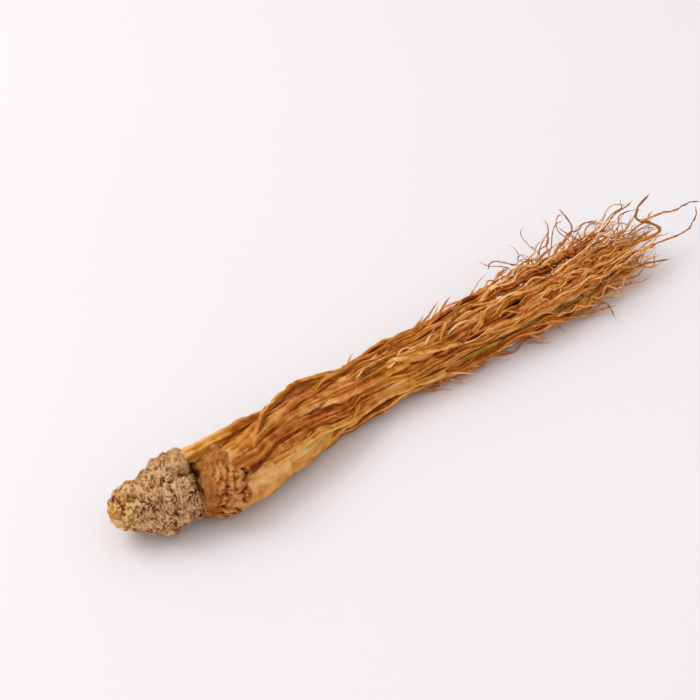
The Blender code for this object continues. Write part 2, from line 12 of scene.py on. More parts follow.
import bpy
import numpy as np
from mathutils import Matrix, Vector


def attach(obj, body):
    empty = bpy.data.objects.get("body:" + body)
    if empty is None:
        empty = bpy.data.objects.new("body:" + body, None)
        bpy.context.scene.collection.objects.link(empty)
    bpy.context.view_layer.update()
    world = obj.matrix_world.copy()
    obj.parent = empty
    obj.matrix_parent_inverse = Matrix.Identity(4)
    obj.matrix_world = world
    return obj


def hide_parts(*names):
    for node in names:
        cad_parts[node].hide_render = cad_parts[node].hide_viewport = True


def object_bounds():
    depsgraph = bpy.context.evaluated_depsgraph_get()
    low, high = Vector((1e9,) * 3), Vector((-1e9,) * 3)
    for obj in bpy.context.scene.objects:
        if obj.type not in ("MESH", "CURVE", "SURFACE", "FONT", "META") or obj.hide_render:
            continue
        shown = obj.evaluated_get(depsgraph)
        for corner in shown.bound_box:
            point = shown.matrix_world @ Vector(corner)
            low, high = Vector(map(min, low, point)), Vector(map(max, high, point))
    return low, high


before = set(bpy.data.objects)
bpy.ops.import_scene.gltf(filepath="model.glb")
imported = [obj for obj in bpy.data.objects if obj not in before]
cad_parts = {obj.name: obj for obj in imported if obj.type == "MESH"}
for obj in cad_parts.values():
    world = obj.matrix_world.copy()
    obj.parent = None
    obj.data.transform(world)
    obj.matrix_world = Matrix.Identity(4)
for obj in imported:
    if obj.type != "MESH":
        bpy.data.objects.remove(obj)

CAD_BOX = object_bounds()
NODE, BODY, SLOT = "angelica_root", "root", "bark"

bl_info = {
    "name": "Dried Angelica Root",
    "version": (1, 0, 0),
    "blender": (4, 5, 0),
    "location": "3D View > Sidebar > Angelica",
    "description": "Builds the crown, the roots, the hairs and the stage of a dried angelica root",
    "category": "Add Mesh",
}

MM = 0.001
SEED = 38

# The middle line of crown, collar and bundle: along, sideways, height
CENTRELINE = (
    (0.0, 6.8, 11.2),
    (12.0, 6.0, 10.0),
    (22.0, 3.2, 10.6),
    (32.0, -0.4, 10.4),
    (46.0, 0.8, 9.2),
    (63.0, 3.6, 8.0),
    (85.0, 5.0, 7.2),
    (108.0, 3.4, 7.2),
    (127.0, 0.4, 7.6),
    (148.0, 0.6, 7.4),
    (171.0, -2.8, 7.4),
    (201.0, -0.6, 6.4),
    (250.0, -2.0, 6.4),
)

# Crown, collar and the core that they send into the bundle: along, radius
TRUNK = (
    (0.0, 3.2),
    (1.2, 4.9),
    (3.0, 6.2),
    (6.0, 7.3),
    (9.0, 8.3),
    (11.5, 9.4),
    (14.0, 10.5),
    (18.0, 11.2),
    (22.0, 10.2),
    (24.4, 8.0),
    (25.6, 6.7),
    (27.4, 8.4),
    (31.0, 10.4),
    (36.0, 10.5),
    (40.0, 9.4),
    (46.0, 7.4),
    (58.0, 5.0),
    (76.0, 3.0),
    (94.0, 1.8),
)

# Relief of the bark
RING_PITCH, RING_DEPTH, RING_WAVER = 3.5, 0.8, 0.9
LUMP_HEIGHT, FLUTE_DEPTH, KNUCKLE_HEIGHT = 0.75, 0.8, 0.45
RINGS_TO, FLUTES_FROM, FLUTES_TO = 25.0, 27.0, 58.0

# Low shoulders left by old stalks and buds: along, angle, radius, how much of it is sunk in
SHOULDERS = (
    (22.0, 84.0, 6.2, 3.8),
    (24.0, 48.0, 4.8, 2.6),
    (10.5, 126.0, 5.0, 4.2),
    (9.0, 30.0, 5.0, 4.2),
    (13.0, 214.0, 4.6, 3.6),
    (31.0, 196.0, 3.6, 2.2),
    (33.0, 140.0, 3.4, 2.2),
)

# Outline of the bundle across its length: along, half width, half height
BUNDLE = (
    (20.0, 11.6, 11.4),
    (40.0, 11.4, 10.6),
    (63.0, 10.4, 8.4),
    (85.0, 9.2, 7.2),
    (108.0, 9.4, 7.2),
    (127.0, 10.4, 7.6),
    (148.0, 10.4, 7.4),
    (171.0, 11.4, 7.4),
    (201.0, 9.4, 6.4),
    (250.0, 9.0, 6.0),
)
FIRST_STATION, LAST_STATION, STATION_STEP = 16.0, 210.0, 5.5
HELD_TO = 44.0  # the collar holds the roots in place up to here

# Lateral roots that stand out: start, end, radius, and (along, angle, depth) points
# A root of depth 1 lies just inside the outline of the bundle
LEADING_ROOTS = (
    (20.0, 192.0, 2.2, ((20.0, 52.0, 0.8), (30.0, 51.0, 1.14), (42.0, 50.0, 1.18),
                        (58.0, 62.0, 1.04), (82.0, 90.0, 1.0), (139.0, 96.0, 0.9))),
    (36.0, 200.0, 2.9, ((36.0, 178.0, 0.95), (49.0, 194.0, 1.0), (79.0, 192.0, 1.0),
                        (92.0, 204.0, 1.0), (150.0, 207.0, 1.0))),
    (38.0, 203.0, 1.4, ((38.0, 126.0, 1.0), (64.0, 142.0, 1.05), (76.0, 146.0, 1.02),
                        (105.0, 152.0, 1.0), (170.0, 150.0, 1.0))),
    (34.0, 188.0, 1.7, ((34.0, 102.0, 1.0), (52.0, 82.0, 1.05), (80.0, 62.0, 1.0),
                        (160.0, 58.0, 1.0))),
    (44.0, 197.0, 1.5, ((44.0, 160.0, 0.9), (60.0, 164.0, 1.0), (78.0, 170.0, 1.05),
                        (100.0, 182.0, 1.04), (114.0, 195.0, 1.0), (190.0, 192.0, 1.0))),
    (38.0, 205.0, 2.0, ((38.0, 108.0, 0.95), (80.0, 108.0, 1.0), (108.0, 126.0, 1.0),
                        (146.0, 140.0, 1.0), (190.0, 124.0, 1.0))),
)
OUTER_ROOTS, INNER_ROOTS, BRANCHES = 12, 7, 14
ROOT_RADII, BRANCH_RADII = (1.15, 1.85), (0.85, 1.3)
ROOT_STARTS, ROOT_ENDS = (31.0, 42.0), (152.0, 204.0)
BRANCH_STARTS, BRANCH_ENDS = (78.0, 128.0), (168.0, 206.0)
ROOT_SWELL, SWELL_LENGTH = 1.45, 34.0  # how much thicker a root is where it leaves the collar
ROOT_TIP = 0.42  # share of its radius left at its end
ROOT_SINK = 5.0  # how far back inside its parent a root begins

# How the roots wander: an outer root and an inner one round the bundle, a branch off its root
OUTER_DEPTH, INNER_DEPTH, DEPTH_SWING = 1.0, 0.5, 0.12
OUTER_SWING, INNER_SWING, BRANCH_SWING = 16.0, 40.0, 6.0
BRANCH_LEAVES, BRANCH_LEAVES_OVER = (6.0, 16.0), 40.0
SWING_PITCH, DEPTH_PITCH, BRANCH_PITCH = 120.0, 90.0, 80.0
ROOT_WAVE, ROOT_WAVE_PITCH = 0.6, 33.0

# How the roots settle against each other and on the surface below
PACKING, SETTLE_ROUNDS = 0.84, 160
SETTLE_PUSH, SETTLE_PULL, SETTLE_SMOOTH = 0.32, 0.06, 0.35
PRESSED = 0.88  # a root's middle comes this share of its radius near the surface below

# Thin roots that lie over the bundle: radius, and (along, angle, lift above the bundle) points
CROSSING_ROOTS = (
    (1.1, ((40.0, 113.0, -0.6), (48.0, 92.0, 0.7), (56.0, 71.0, 0.9), (64.0, 54.0, 1.6),
           (70.0, 50.0, 2.6), (77.0, 54.0, 2.2), (84.0, 68.0, 0.6), (91.0, 76.0, -0.7))),
    (1.0, ((60.0, 202.0, -0.7), (67.0, 192.0, 0.6), (74.0, 178.0, 0.8), (82.0, 163.0, 0.6),
           (90.0, 152.0, -0.7))),
    (0.8, ((119.0, 129.0, -0.6), (122.0, 108.0, 0.9), (126.0, 84.0, 0.9), (134.0, 62.0, 0.8),
           (142.0, 50.0, -0.4))),
    (0.8, ((128.0, 138.0, -0.6), (135.0, 126.0, 0.8), (140.0, 106.0, 1.3), (145.0, 88.0, -0.6))),
    (0.9, ((138.0, 144.0, -0.6), (146.0, 122.0, 0.8), (156.0, 106.0, 1.0), (164.0, 126.0, 0.9),
           (168.0, 150.0, -0.5))),
    (0.9, ((94.0, 100.0, -0.6), (104.0, 114.0, 0.7), (118.0, 132.0, 0.8), (132.0, 138.0, -0.7))),
)
CROSSING_TIP = 0.75  # share of its radius left at its far end
BRIDGE_STEP, BRIDGE_ROUNDS = 1.5, 10  # how smoothly they span the gaps between the roots below

# Rootlets, which leave the roots for the far end
ROOTLETS = 34
ROOTLET_RADII, ROOTLET_TIP = (0.5, 0.8), 0.55
ROOTLET_STARTS, ROOTLET_LENGTHS = (108.0, 186.0), (20.0, 48.0)
ROOTLET_SWINGS, ROOTLET_WAVE, ROOTLET_WAVE_PITCH = (1.5, 6.5), 1.5, 30.0

# Long hairs at the end, each leaving the nearest root or hair: radius, and (along, sideways, height)
# points
HAIRS = (
    (1.15, ((180.0, -3.0, 8.0), (194.0, -3.0, 9.0), (206.0, -4.0, 10.0), (216.0, -8.0, 12.0),
            (219.5, -8.5, 13.5), (218.5, -5.0, 15.0), (214.0, -2.0, 17.0), (217.0, -0.5, 20.0),
            (221.0, -1.5, 24.0))),
    (0.7, ((214.5, -3.0, 16.4), (219.0, -6.0, 18.0), (227.0, -9.0, 19.0), (235.0, -12.0, 20.0))),
    (0.75, ((184.0, 3.0, 8.0), (200.0, 7.5, 9.5), (206.0, 6.0, 12.0), (211.0, 5.0, 16.0),
            (218.0, 4.0, 20.0))),
    (0.7, ((178.0, 8.0, 7.0), (190.0, 11.0, 9.0), (199.0, 13.0, 12.0), (199.5, 20.0, 16.0))),
    (0.85, ((176.0, -10.0, 5.0), (189.0, -10.0, 6.0), (200.0, -10.5, 6.0), (210.0, -12.0, 5.6),
            (219.0, -15.0, 4.6))),
    (0.65, ((184.0, -4.0, 8.0), (200.0, -5.0, 7.6), (216.0, -7.0, 7.0), (232.0, -9.0, 6.0),
            (244.0, -5.0, 4.0), (252.0, 1.0, 2.6))),
    (0.65, ((170.0, -12.0, 6.0), (180.0, -13.0, 5.0), (185.0, -16.0, 3.4), (184.0, -21.0, 1.2))),
    (0.65, ((176.0, 5.0, 6.0), (192.0, 14.0, 5.0), (206.0, 19.0, 3.6), (222.0, 21.0, 1.2))),
    (0.65, ((184.0, 2.0, 4.0), (206.0, 6.0, 3.0), (226.0, 7.0, 2.0), (240.0, 10.0, 1.0))),
)

TO_CENTRE = (-125.8, 0.0)  # this shift puts the middle of the root's box on the origin
HAIR_TIP = 0.5

Track = collections.namedtuple("Track", "start end radius swell angles depths phases host")
Rootlet = collections.namedtuple("Rootlet", "host start length swing radius phases")


def through(points, at):
    """The values at the places `at` of a smooth line through points; their first column is the place."""
    table = np.array(points, float)
    place, value = table[:, 0], table[:, 1:]
    slope = np.gradient(value, place, axis=0)
    at = np.atleast_1d(at)
    i = np.clip(np.searchsorted(place, at) - 1, 0, len(place) - 2)
    gap = (place[i + 1] - place[i])[:, None]
    t = np.clip((at - place[i])[:, None] / gap, 0, 1)
    return (
        value[i] * (2 * t**3 - 3 * t**2 + 1)
        + value[i + 1] * (3 * t**2 - 2 * t**3)
        + slope[i] * gap * (t**3 - 2 * t**2 + t)
        + slope[i + 1] * gap * (t**3 - t**2)
    )


def wave(along, pitch, phases):
    """A slow wave between about -1 and 1."""
    turn = math.tau * along / pitch
    return 0.65 * np.sin(turn + phases[0]) + 0.35 * np.sin(2.3 * turn + phases[1])


def root_tracks(draw, stations):
    """The lateral roots and their branches, with their angle and depth at each station."""
    tracks = []
    for start, end, radius, points in LEADING_ROOTS:
        angle, depth = through(points, stations).T
        phases = draw.uniform(0, math.tau, 4)
        tracks.append(Track(start, end, radius, ROOT_SWELL, angle, depth, phases, None))
    middle = len(stations) // 3
    free = np.arange(0, 360, 5)
    for _ in range(OUTER_ROOTS):
        taken = np.array([track.angles[middle] for track in tracks])
        clear = np.abs((free[:, None] - taken + 180) % 360 - 180).min(axis=1)
        angle = free[clear.argmax()] + draw.uniform(-4, 4)
        tracks.append(one_root(draw, stations, angle, OUTER_DEPTH, OUTER_SWING))
    for number in range(INNER_ROOTS):
        angle = 360 * number / INNER_ROOTS + draw.uniform(-15, 15)
        tracks.append(one_root(draw, stations, angle, INNER_DEPTH, INNER_SWING))
    outside = len(LEADING_ROOTS) + OUTER_ROOTS
    for number in range(BRANCHES):
        tracks.append(one_branch(draw, stations, tracks, number % outside))
    return tracks


def one_root(draw, stations, angle, depth, swing):
    start, end = draw.uniform(*ROOT_STARTS), draw.uniform(*ROOT_ENDS)
    radius = draw.uniform(*ROOT_RADII)
    phases = draw.uniform(0, math.tau, 4)
    angles = angle + swing * wave(stations, SWING_PITCH, phases[:2])
    depths = depth + DEPTH_SWING * wave(stations, DEPTH_PITCH, phases[2:])
    return Track(start, end, radius, ROOT_SWELL, angles, depths, phases, None)


def one_branch(draw, stations, tracks, host):
    start, end = draw.uniform(*BRANCH_STARTS), draw.uniform(*BRANCH_ENDS)
    radius = draw.uniform(*BRANCH_RADII)
    phases = draw.uniform(0, math.tau, 4)
    away = draw.choice((-1, 1)) * draw.uniform(*BRANCH_LEAVES)
    away = away + BRANCH_SWING * wave(stations, BRANCH_PITCH, phases[:2])
    angles = tracks[host].angles + away * np.clip((stations - start) / BRANCH_LEAVES_OVER, 0, 1)
    return Track(start, end, radius, 1.0, angles, tracks[host].depths, phases, host)


def root_radius(track, along):
    """The radius along one root: swollen at the collar, thin at its end."""
    leaving = np.clip((along - track.start) / SWELL_LENGTH, 0, 1)
    run = np.clip((along - track.start) / (track.end - track.start), 0, 1)
    swell = track.swell + (1 - track.swell) * leaving
    return track.radius * swell * (1 - (1 - ROOT_TIP) * run**2.2)


def settle(tracks, stations):
    """The (sideways, height) place of each root at each station, once they lie on each other."""
    middle, half = through(CENTRELINE, stations), through(BUNDLE, stations)
    radius = np.array([root_radius(track, stations) for track in tracks])
    target = []
    for track, size in zip(tracks, radius):
        turn = np.radians(track.angles)
        reach = np.stack((np.cos(turn), np.sin(turn)), axis=-1) * half * track.depths[:, None]
        length = np.linalg.norm(reach, axis=1)
        target.append(middle + reach * (np.maximum(length - size, 0) / length)[:, None])
    target = np.array(target)
    there = np.array(
        [(stations > t.start - STATION_STEP) & (stations < t.end + STATION_STEP) for t in tracks]
    )
    meet = (there[:, None] & there[None]) & ~np.eye(len(tracks), dtype=bool)[..., None]
    free = (stations > HELD_TO)[None, :, None]
    place = target.copy()
    for _ in range(SETTLE_ROUNDS):
        gap = place[:, None] - place[None]
        apart = np.linalg.norm(gap, axis=-1) + 1e-6
        push = np.clip(PACKING * (radius[:, None] + radius[None]) - apart, 0, None) * meet
        step = SETTLE_PUSH * (gap * (push / apart)[..., None]).sum(axis=1)
        step += SETTLE_PULL * (target - place)
        step[:, 1:-1] += SETTLE_SMOOTH * ((place[:, :-2] + place[:, 2:]) / 2 - place[:, 1:-1])
        place = place + step * free
        place[..., 1] = np.maximum(place[..., 1], radius * PRESSED)
    return place


class Bundle:
    """The settled roots, which every thinner root is placed by."""

    def __init__(self, draw):
        self.stations = np.arange(FIRST_STATION, LAST_STATION, STATION_STEP)
        self.tracks = root_tracks(draw, self.stations)
        self.place = settle(self.tracks, self.stations)
        self.rootlets = [self.one_rootlet(draw) for _ in range(ROOTLETS)]

    def across(self, number, along):
        """The (sideways, height) places of one root, with its own fine waver."""
        track, along = self.tracks[number], np.atleast_1d(along)
        places = through(np.column_stack((self.stations, self.place[number])), along)
        free = np.clip((along - HELD_TO) / 20.0, 0, 1) * ROOT_WAVE
        places[:, 0] += free * wave(along, ROOT_WAVE_PITCH, track.phases[:2])
        places[:, 1] += free * wave(along, ROOT_WAVE_PITCH, track.phases[2:])
        return places

    def root_line(self, number, count):
        """(points, radii) of one root, which begins inside what it grows from."""
        track = self.tracks[number]
        along = np.linspace(track.start, track.end, count)
        across = self.across(number, along)
        begin = track.start - ROOT_SINK
        if track.host is None:
            middle = through(CENTRELINE, begin)[0]
            base = middle + 0.45 * (across[0] - middle)
        else:
            base = self.across(track.host, begin)[0]
        points = np.vstack(((begin, *base), np.column_stack((along, across))))
        radii = root_radius(track, along)
        return points, np.append(radii[0], radii)

    def surface(self, along, angle):
        """How far the bundle reaches from its middle, at one place and angle."""
        middle = through(CENTRELINE, along)[0]
        way = np.array((math.cos(math.radians(angle)), math.sin(math.radians(angle))))
        found = np.interp(along, *np.transpose(TRUNK))
        for number, track in enumerate(self.tracks):
            if track.start < along < track.end:
                centre = self.across(number, along)[0] - middle
                ahead = centre @ way
                aside = root_radius(track, along) ** 2 - (centre @ centre - ahead**2)
                if aside > 0:
                    found = max(found, ahead + math.sqrt(aside))
        return found

    def over(self, route, count):
        """Points of a line that lies over the bundle and spans its gaps, from (along, angle, lift) points."""
        start, end = route[0][0], route[-1][0]
        steps = np.arange(start, end + BRIDGE_STEP, BRIDGE_STEP)
        reach = np.array([self.surface(x, angle) for x, (angle, _) in zip(steps, through(route, steps))])
        for _ in range(BRIDGE_ROUNDS):
            reach[1:-1] = (reach[:-2] + 2 * reach[1:-1] + reach[2:]) / 4
        along = np.linspace(start, end, count)
        angle, lift = through(route, along).T
        turn, reach = np.radians(angle), np.interp(along, steps, reach) + lift
        way = np.column_stack((np.cos(turn), np.sin(turn)))
        return np.column_stack((along, through(CENTRELINE, along) + reach[:, None] * way))

    def one_rootlet(self, draw):
        host = int(draw.integers(len(self.tracks)))
        start = min(draw.uniform(*ROOTLET_STARTS), self.tracks[host].end - 10.0)
        length, swing = draw.uniform(*ROOTLET_LENGTHS), draw.uniform(*ROOTLET_SWINGS)
        radius = draw.uniform(*ROOTLET_RADII)
        return Rootlet(host, start, length, swing, radius, draw.uniform(0, math.tau, 4))

    def rootlet_line(self, rootlet, count):
        """(points, radii) of a rootlet: it leaves its root, wavers, and runs on outwards."""
        run = np.linspace(0, 1, count)
        along = rootlet.start + rootlet.length * run
        across = self.across(rootlet.host, np.minimum(along, self.tracks[rootlet.host].end))
        out = across[0] - through(CENTRELINE, rootlet.start)[0]
        out = out / max(np.linalg.norm(out), 1.0)
        across += out * (rootlet.swing * run**1.5)[:, None]
        for axis in (0, 1):
            phases = rootlet.phases[2 * axis : 2 * axis + 2]
            across[:, axis] += ROOTLET_WAVE * wave(along, ROOTLET_WAVE_PITCH, phases) * run
        across[:, 1] = np.maximum(across[:, 1], rootlet.radius)
        return np.column_stack((along, across)), rootlet.radius * (1 - (1 - ROOTLET_TIP) * run)

    def hair_line(self, radius, route, count):
        """(points, radii) of a hair through its route, begun in the middle of the nearest root."""
        route = np.array(route)
        begin, *place = route[0]
        near = [
            self.across(number, begin)[0]
            for number, track in enumerate(self.tracks)
            if track.start < begin < track.end
        ]
        if near:
            route[0, 1:] = min(near, key=lambda centre: np.linalg.norm(centre - place))
        steps = np.linspace(0, len(route) - 1, count)
        points = through(np.column_stack((np.arange(len(route)), route)), steps)
        return points, np.linspace(radius, HAIR_TIP * radius, count)


def bark_relief(along, angle):
    """How far the bark stands out of the trunk's round form, for an angle in radians."""
    # The crown is ringed up to its groove, with rings that waver and break
    crown = np.clip((RINGS_TO - along) / 2, 0, 1) * np.clip(along / 2.5, 0, 1)
    waver = RING_WAVER * (np.sin(2 * angle + 0.21 * along) + 0.6 * np.sin(5 * angle - 0.3 * along))
    rings = -RING_DEPTH * (0.5 + 0.5 * np.cos(math.tau * along / RING_PITCH + waver))
    # Low lumps run over all of it, one turn of them every 20 to 30 mm
    lumps = np.sin(3 * angle + 0.23 * along) * np.cos(2 * angle - 0.17 * along + 1.0)
    lumps = lumps + 0.5 * np.sin(angle + 0.35 * along)
    # The collar is fluted lengthwise, between the roots that leave it, and knobbly
    collar = np.clip((along - FLUTES_FROM) / 4, 0, 1) * np.clip((FLUTES_TO - along) / 12, 0, 1)
    flutes = np.cos(8 * angle + 1.4 * np.sin(0.16 * along))
    knuckles = np.sin(0.9 * along + 3 * angle)
    return (
        crown * rings
        + LUMP_HEIGHT * lumps
        + collar * (FLUTE_DEPTH * flutes + KNUCKLE_HEIGHT * knuckles)
    )


# Noise, waves and meshes

LATTICE = np.random.default_rng(7).uniform(-1, 1, (32, 32, 32))


def noise(points):
    """Smooth noise between -1 and 1 at each row of points, with bumps one unit long."""
    base = np.floor(points).astype(int)
    t = points - base
    t = t * t * (3 - 2 * t)
    height = 0
    for corner in itertools.product((0, 1), repeat=3):
        weight = np.where(corner, t, 1 - t).prod(axis=-1)
        height = height + weight * LATTICE[tuple(np.moveaxis((base + corner) % 32, -1, 0))]
    return height


def rise(value, start, length):
    """0 up to the start, and 1 from a length beyond it."""
    return np.clip((value - start) / length, 0, 1)


def fall(value, end, length):
    """1 up to a length before the end, and 0 from the end on."""
    return np.clip((end - value) / length, 0, 1)


def hump(value, middle, width):
    """A soft bump, 1 at its middle."""
    return np.exp(-(((value - middle) / width) ** 2))


def crests(value, pitch, sharpness=0.75):
    """Rounded crests from 0 to 1, one for each pitch, with narrow furrows between them."""
    return np.abs(np.sin(math.pi * value / pitch)) ** sharpness


def free_wave(draw, along, pitch):
    """A slow wave that starts anywhere."""
    return wave(along, pitch, draw.uniform(0, math.tau, 2))


def shiver(draw, points, pitch):
    """A quick waver of a line, sideways and up."""
    return np.sin(points[:, :1] / pitch + draw.uniform(0, math.tau, 2))


def unit(rows):
    return rows / np.maximum(np.linalg.norm(rows, axis=-1, keepdims=True), 1e-9)


def frames(points, out):
    """(side, out) at each point of a line, square to the line, with out as near as it can be to `out`."""
    ahead = unit(np.gradient(points, axis=0))
    out = unit(out - (out * ahead).sum(axis=1, keepdims=True) * ahead)
    return np.cross(out, ahead), out


def tube(rings):
    """(points, faces) of a closed tube from rings of points, with a pole at each end."""
    count, sides = rings.shape[:2]
    ring, side = np.meshgrid(np.arange(count - 1), np.arange(sides), indexing="ij")
    here, beside = ring * sides + side, ring * sides + (side + 1) % sides
    quads = np.stack((here, beside, beside + sides, here + sides), axis=-1).reshape(-1, 4)
    points = np.vstack((rings.reshape(-1, 3), rings[0].mean(axis=0), rings[-1].mean(axis=0)))
    start, end, last = count * sides, count * sides + 1, (count - 1) * sides
    faces = quads.tolist()
    for k in range(sides):
        after = (k + 1) % sides
        faces.append((start, after, k))
        faces.append((end, last + k, last + after))
    return points, faces


class Skin:
    """Tubes that are gathered into one mesh, with the attributes that its material reads."""

    def __init__(self):
        self.points, self.faces, self.marks = [], [], []

    def add(self, rings, relief, tone, grain):
        """relief and grain have one row for each point of the rings; tone may be one number."""
        points, faces = tube(rings)
        first = sum(map(len, self.points))
        self.points.append(points)
        self.faces.extend([[corner + first for corner in face] for face in faces])
        marks = np.empty((len(points), 5))
        marks[:-2, 0] = np.broadcast_to(relief, rings.shape[:2]).ravel()
        marks[:-2, 1] = np.broadcast_to(tone, rings.shape[:2]).ravel()
        marks[:-2, 2:] = grain.reshape(-1, 3)
        marks[-2], marks[-1] = marks[0], marks[-3]
        self.marks.append(marks)

    def mesh(self, name):
        points = np.vstack(self.points)
        points[:, 2] = np.maximum(points[:, 2], 0.0)
        mesh = bpy.data.meshes.new(name)
        mesh.from_pydata(to_frame(points).tolist(), [], self.faces)
        mesh.shade_smooth()
        marks = np.vstack(self.marks)
        for column, mark in enumerate(("relief", "tone")):
            store = mesh.attributes.new(mark, "FLOAT", "POINT")
            store.data.foreach_set("value", marks[:, column])
        store = mesh.attributes.new("grain", "FLOAT_VECTOR", "POINT")
        store.data.foreach_set("vector", marks[:, 2:].ravel())
        return mesh


def to_frame(points):
    """Points in millimetres from the crown's tip, moved into the part's frame, in metres."""
    return (np.asarray(points) + (*TO_CENTRE, 0.0)) * MM


def place(name, mesh, material):
    """The finished piece: an object at the origin that rides on the root and stands for its solid."""
    mesh.name = name
    mesh.materials.clear()
    mesh.materials.append(material)
    piece = bpy.data.objects.new(name, mesh)
    bpy.context.scene.collection.objects.link(piece)
    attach(piece, BODY)
    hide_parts(NODE)
    return piece


# Nodes

def linear(colour):
    """An sRGB hex colour as linear RGBA."""
    parts = [int(colour[k : k + 2], 16) / 255 for k in (0, 2, 4)]
    return (*(c / 12.92 if c <= 0.04045 else ((c + 0.055) / 1.055) ** 2.4 for c in parts), 1.0)


def add(tree, kind, inputs=None, stops=(), **settings):
    """Adds one node. inputs maps a socket's name or number to a value, or to the socket that feeds it,
    and stops are the (place, hex colour) pairs of a colour ramp."""
    node = tree.nodes.new(kind)
    for name, value in settings.items():
        setattr(node, name, value)
    for name, value in (inputs or {}).items():
        if isinstance(value, bpy.types.NodeSocket):
            tree.links.new(value, node.inputs[name])
        else:
            node.inputs[name].default_value = value
    if stops:
        band = node.color_ramp.elements
        for _ in stops[2:]:
            band.new(0.5)
        for element, (at, colour) in zip(band, stops):
            element.position, element.color = at, linear(colour)
    return node


def total(tree, *terms):
    """The sum of socket * weight terms, and of a last plain number."""
    *pairs, value = terms
    for socket, weight in pairs:
        inputs = {0: socket, 1: weight, 2: value}
        value = add(tree, "ShaderNodeMath", inputs, operation="MULTIPLY_ADD").outputs[0]
    return value


def new_material(name, constants):
    """(material, tree), with the constants set on the shader's sockets."""
    material = bpy.data.materials.new(name)
    material.use_nodes = True
    shader = material.node_tree.nodes["Principled BSDF"]
    for socket, value in constants.items():
        shader.inputs[socket].default_value = value
    return material, material.node_tree


def dress(material, colour, bump=None):
    """The material, with a colour socket and a bump node joined to its shader."""
    shader = material.node_tree.nodes["Principled BSDF"]
    material.node_tree.links.new(colour, shader.inputs["Base Color"])
    if bump:
        material.node_tree.links.new(bump.outputs[0], shader.inputs["Normal"])
    return material


# Colours from the bottom of the wrinkles to the ridges; in the cork, cut tip and root skin ramps the dark end
# is partly painted shade and the pale end partly painted highlight
GREY_CORK = ((0.1, "3A1E06"), (0.28, "6B401B"), (0.46, "91643C"), (0.68, "B68759"), (0.92, "DFB687"))
WORN_CORK = ((0.1, "552A06"), (0.4, "A26526"), (0.7, "CE964C"), (0.95, "EBC28A"))
COLLAR_CORK = ((0.08, "320E00"), (0.28, "602902"), (0.48, "894712"), (0.7, "AE6D30"), (0.95, "D69E62"))
CUT_TIP = ((0.1, "9A642F"), (0.4, "CE9A60"), (0.75, "EBC796"))
RUSSET_SKIN = ((0.08, "3D0F00"), (0.26, "782C00"), (0.45, "A95516"), (0.66, "CF7F38"), (0.93, "F0B47A"))
OCHRE_SKIN = ((0.08, "4A1E00"), (0.26, "8A4505"), (0.45, "BC701C"), (0.66, "DD983F"), (0.93, "F5C37D"))
HAIR_SKIN = ((0.1, "7A6548"), (0.3, "9A5F22"), (0.5, "C4752A"), (0.74, "E79B4E"), (0.95, "F8C98C"))
PAPER = ((0.3, "E7E5E8"), (0.7, "E9E7EA"))

MARKS = (("grain", "Vector"), ("relief", "Fac"), ("tone", "Fac"))  # what a skin's mesh stores
BARK_IOR = 1.45


def corky_bark():
    """Cork-like bark of the crown and collar: matte, pale on its ridges, dark brown in its wrinkles, partly
    painted highlight and painted shade.
    """
    shading = {"Roughness": 0.9, "Specular IOR Level": 0.2, "IOR": BARK_IOR}
    material, tree = new_material("corky_crown_bark", shading)
    place_mm, relief, tone = (
        add(tree, "ShaderNodeAttribute", attribute_name=name).outputs[output] for name, output in MARKS
    )
    blotch, crumb, spots = (
        add(tree, "ShaderNodeTexNoise", {"Vector": place_mm, "Scale": 1 / size, **finish}).outputs[0]
        for size, finish in (
            (2.4, {"Detail": 3.0}),
            (0.4, {"Detail": 4.0, "Roughness": 0.7}),
            (3.4, {"Detail": 4.0}),
        )
    )
    # The relief makes the colour dark in the wrinkles and pale on the ridges: partly the bark's own colour,
    # partly painted shade and painted highlight
    level = total(tree, (relief, 0.85), (blotch, 0.5), (crumb, 0.65), -0.55)
    # Towards the tip the cork is worn through in spots, to the yellow bark below
    along = add(tree, "ShaderNodeSeparateXYZ", {0: place_mm}).outputs[0]
    worn = total(tree, (along, -0.09), (spots, 3.2), -0.85)
    worn = add(tree, "ShaderNodeClamp", {0: worn, 2: 0.65}).outputs[0]
    # A tone above 0 is the collar's, and one below 0 is the cut tip's
    collar = add(tree, "ShaderNodeClamp", {0: tone}).outputs[0]
    cut = add(tree, "ShaderNodeMath", {0: tone, 1: -1.0}, operation="MULTIPLY", use_clamp=True).outputs[0]
    colour = add(tree, "ShaderNodeValToRGB", {0: level}, GREY_CORK).outputs[0]
    for share, stops in ((worn, WORN_CORK), (collar, COLLAR_CORK), (cut, CUT_TIP)):
        over = add(tree, "ShaderNodeValToRGB", {0: level}, stops).outputs[0]
        inputs = {"Factor": share, 6: colour, 7: over}
        colour = add(tree, "ShaderNodeMix", inputs, data_type="RGBA").outputs[2]
    bump = add(tree, "ShaderNodeBump", {"Strength": 0.8, "Distance": 0.0003, "Height": crumb})
    return dress(material, colour, bump)


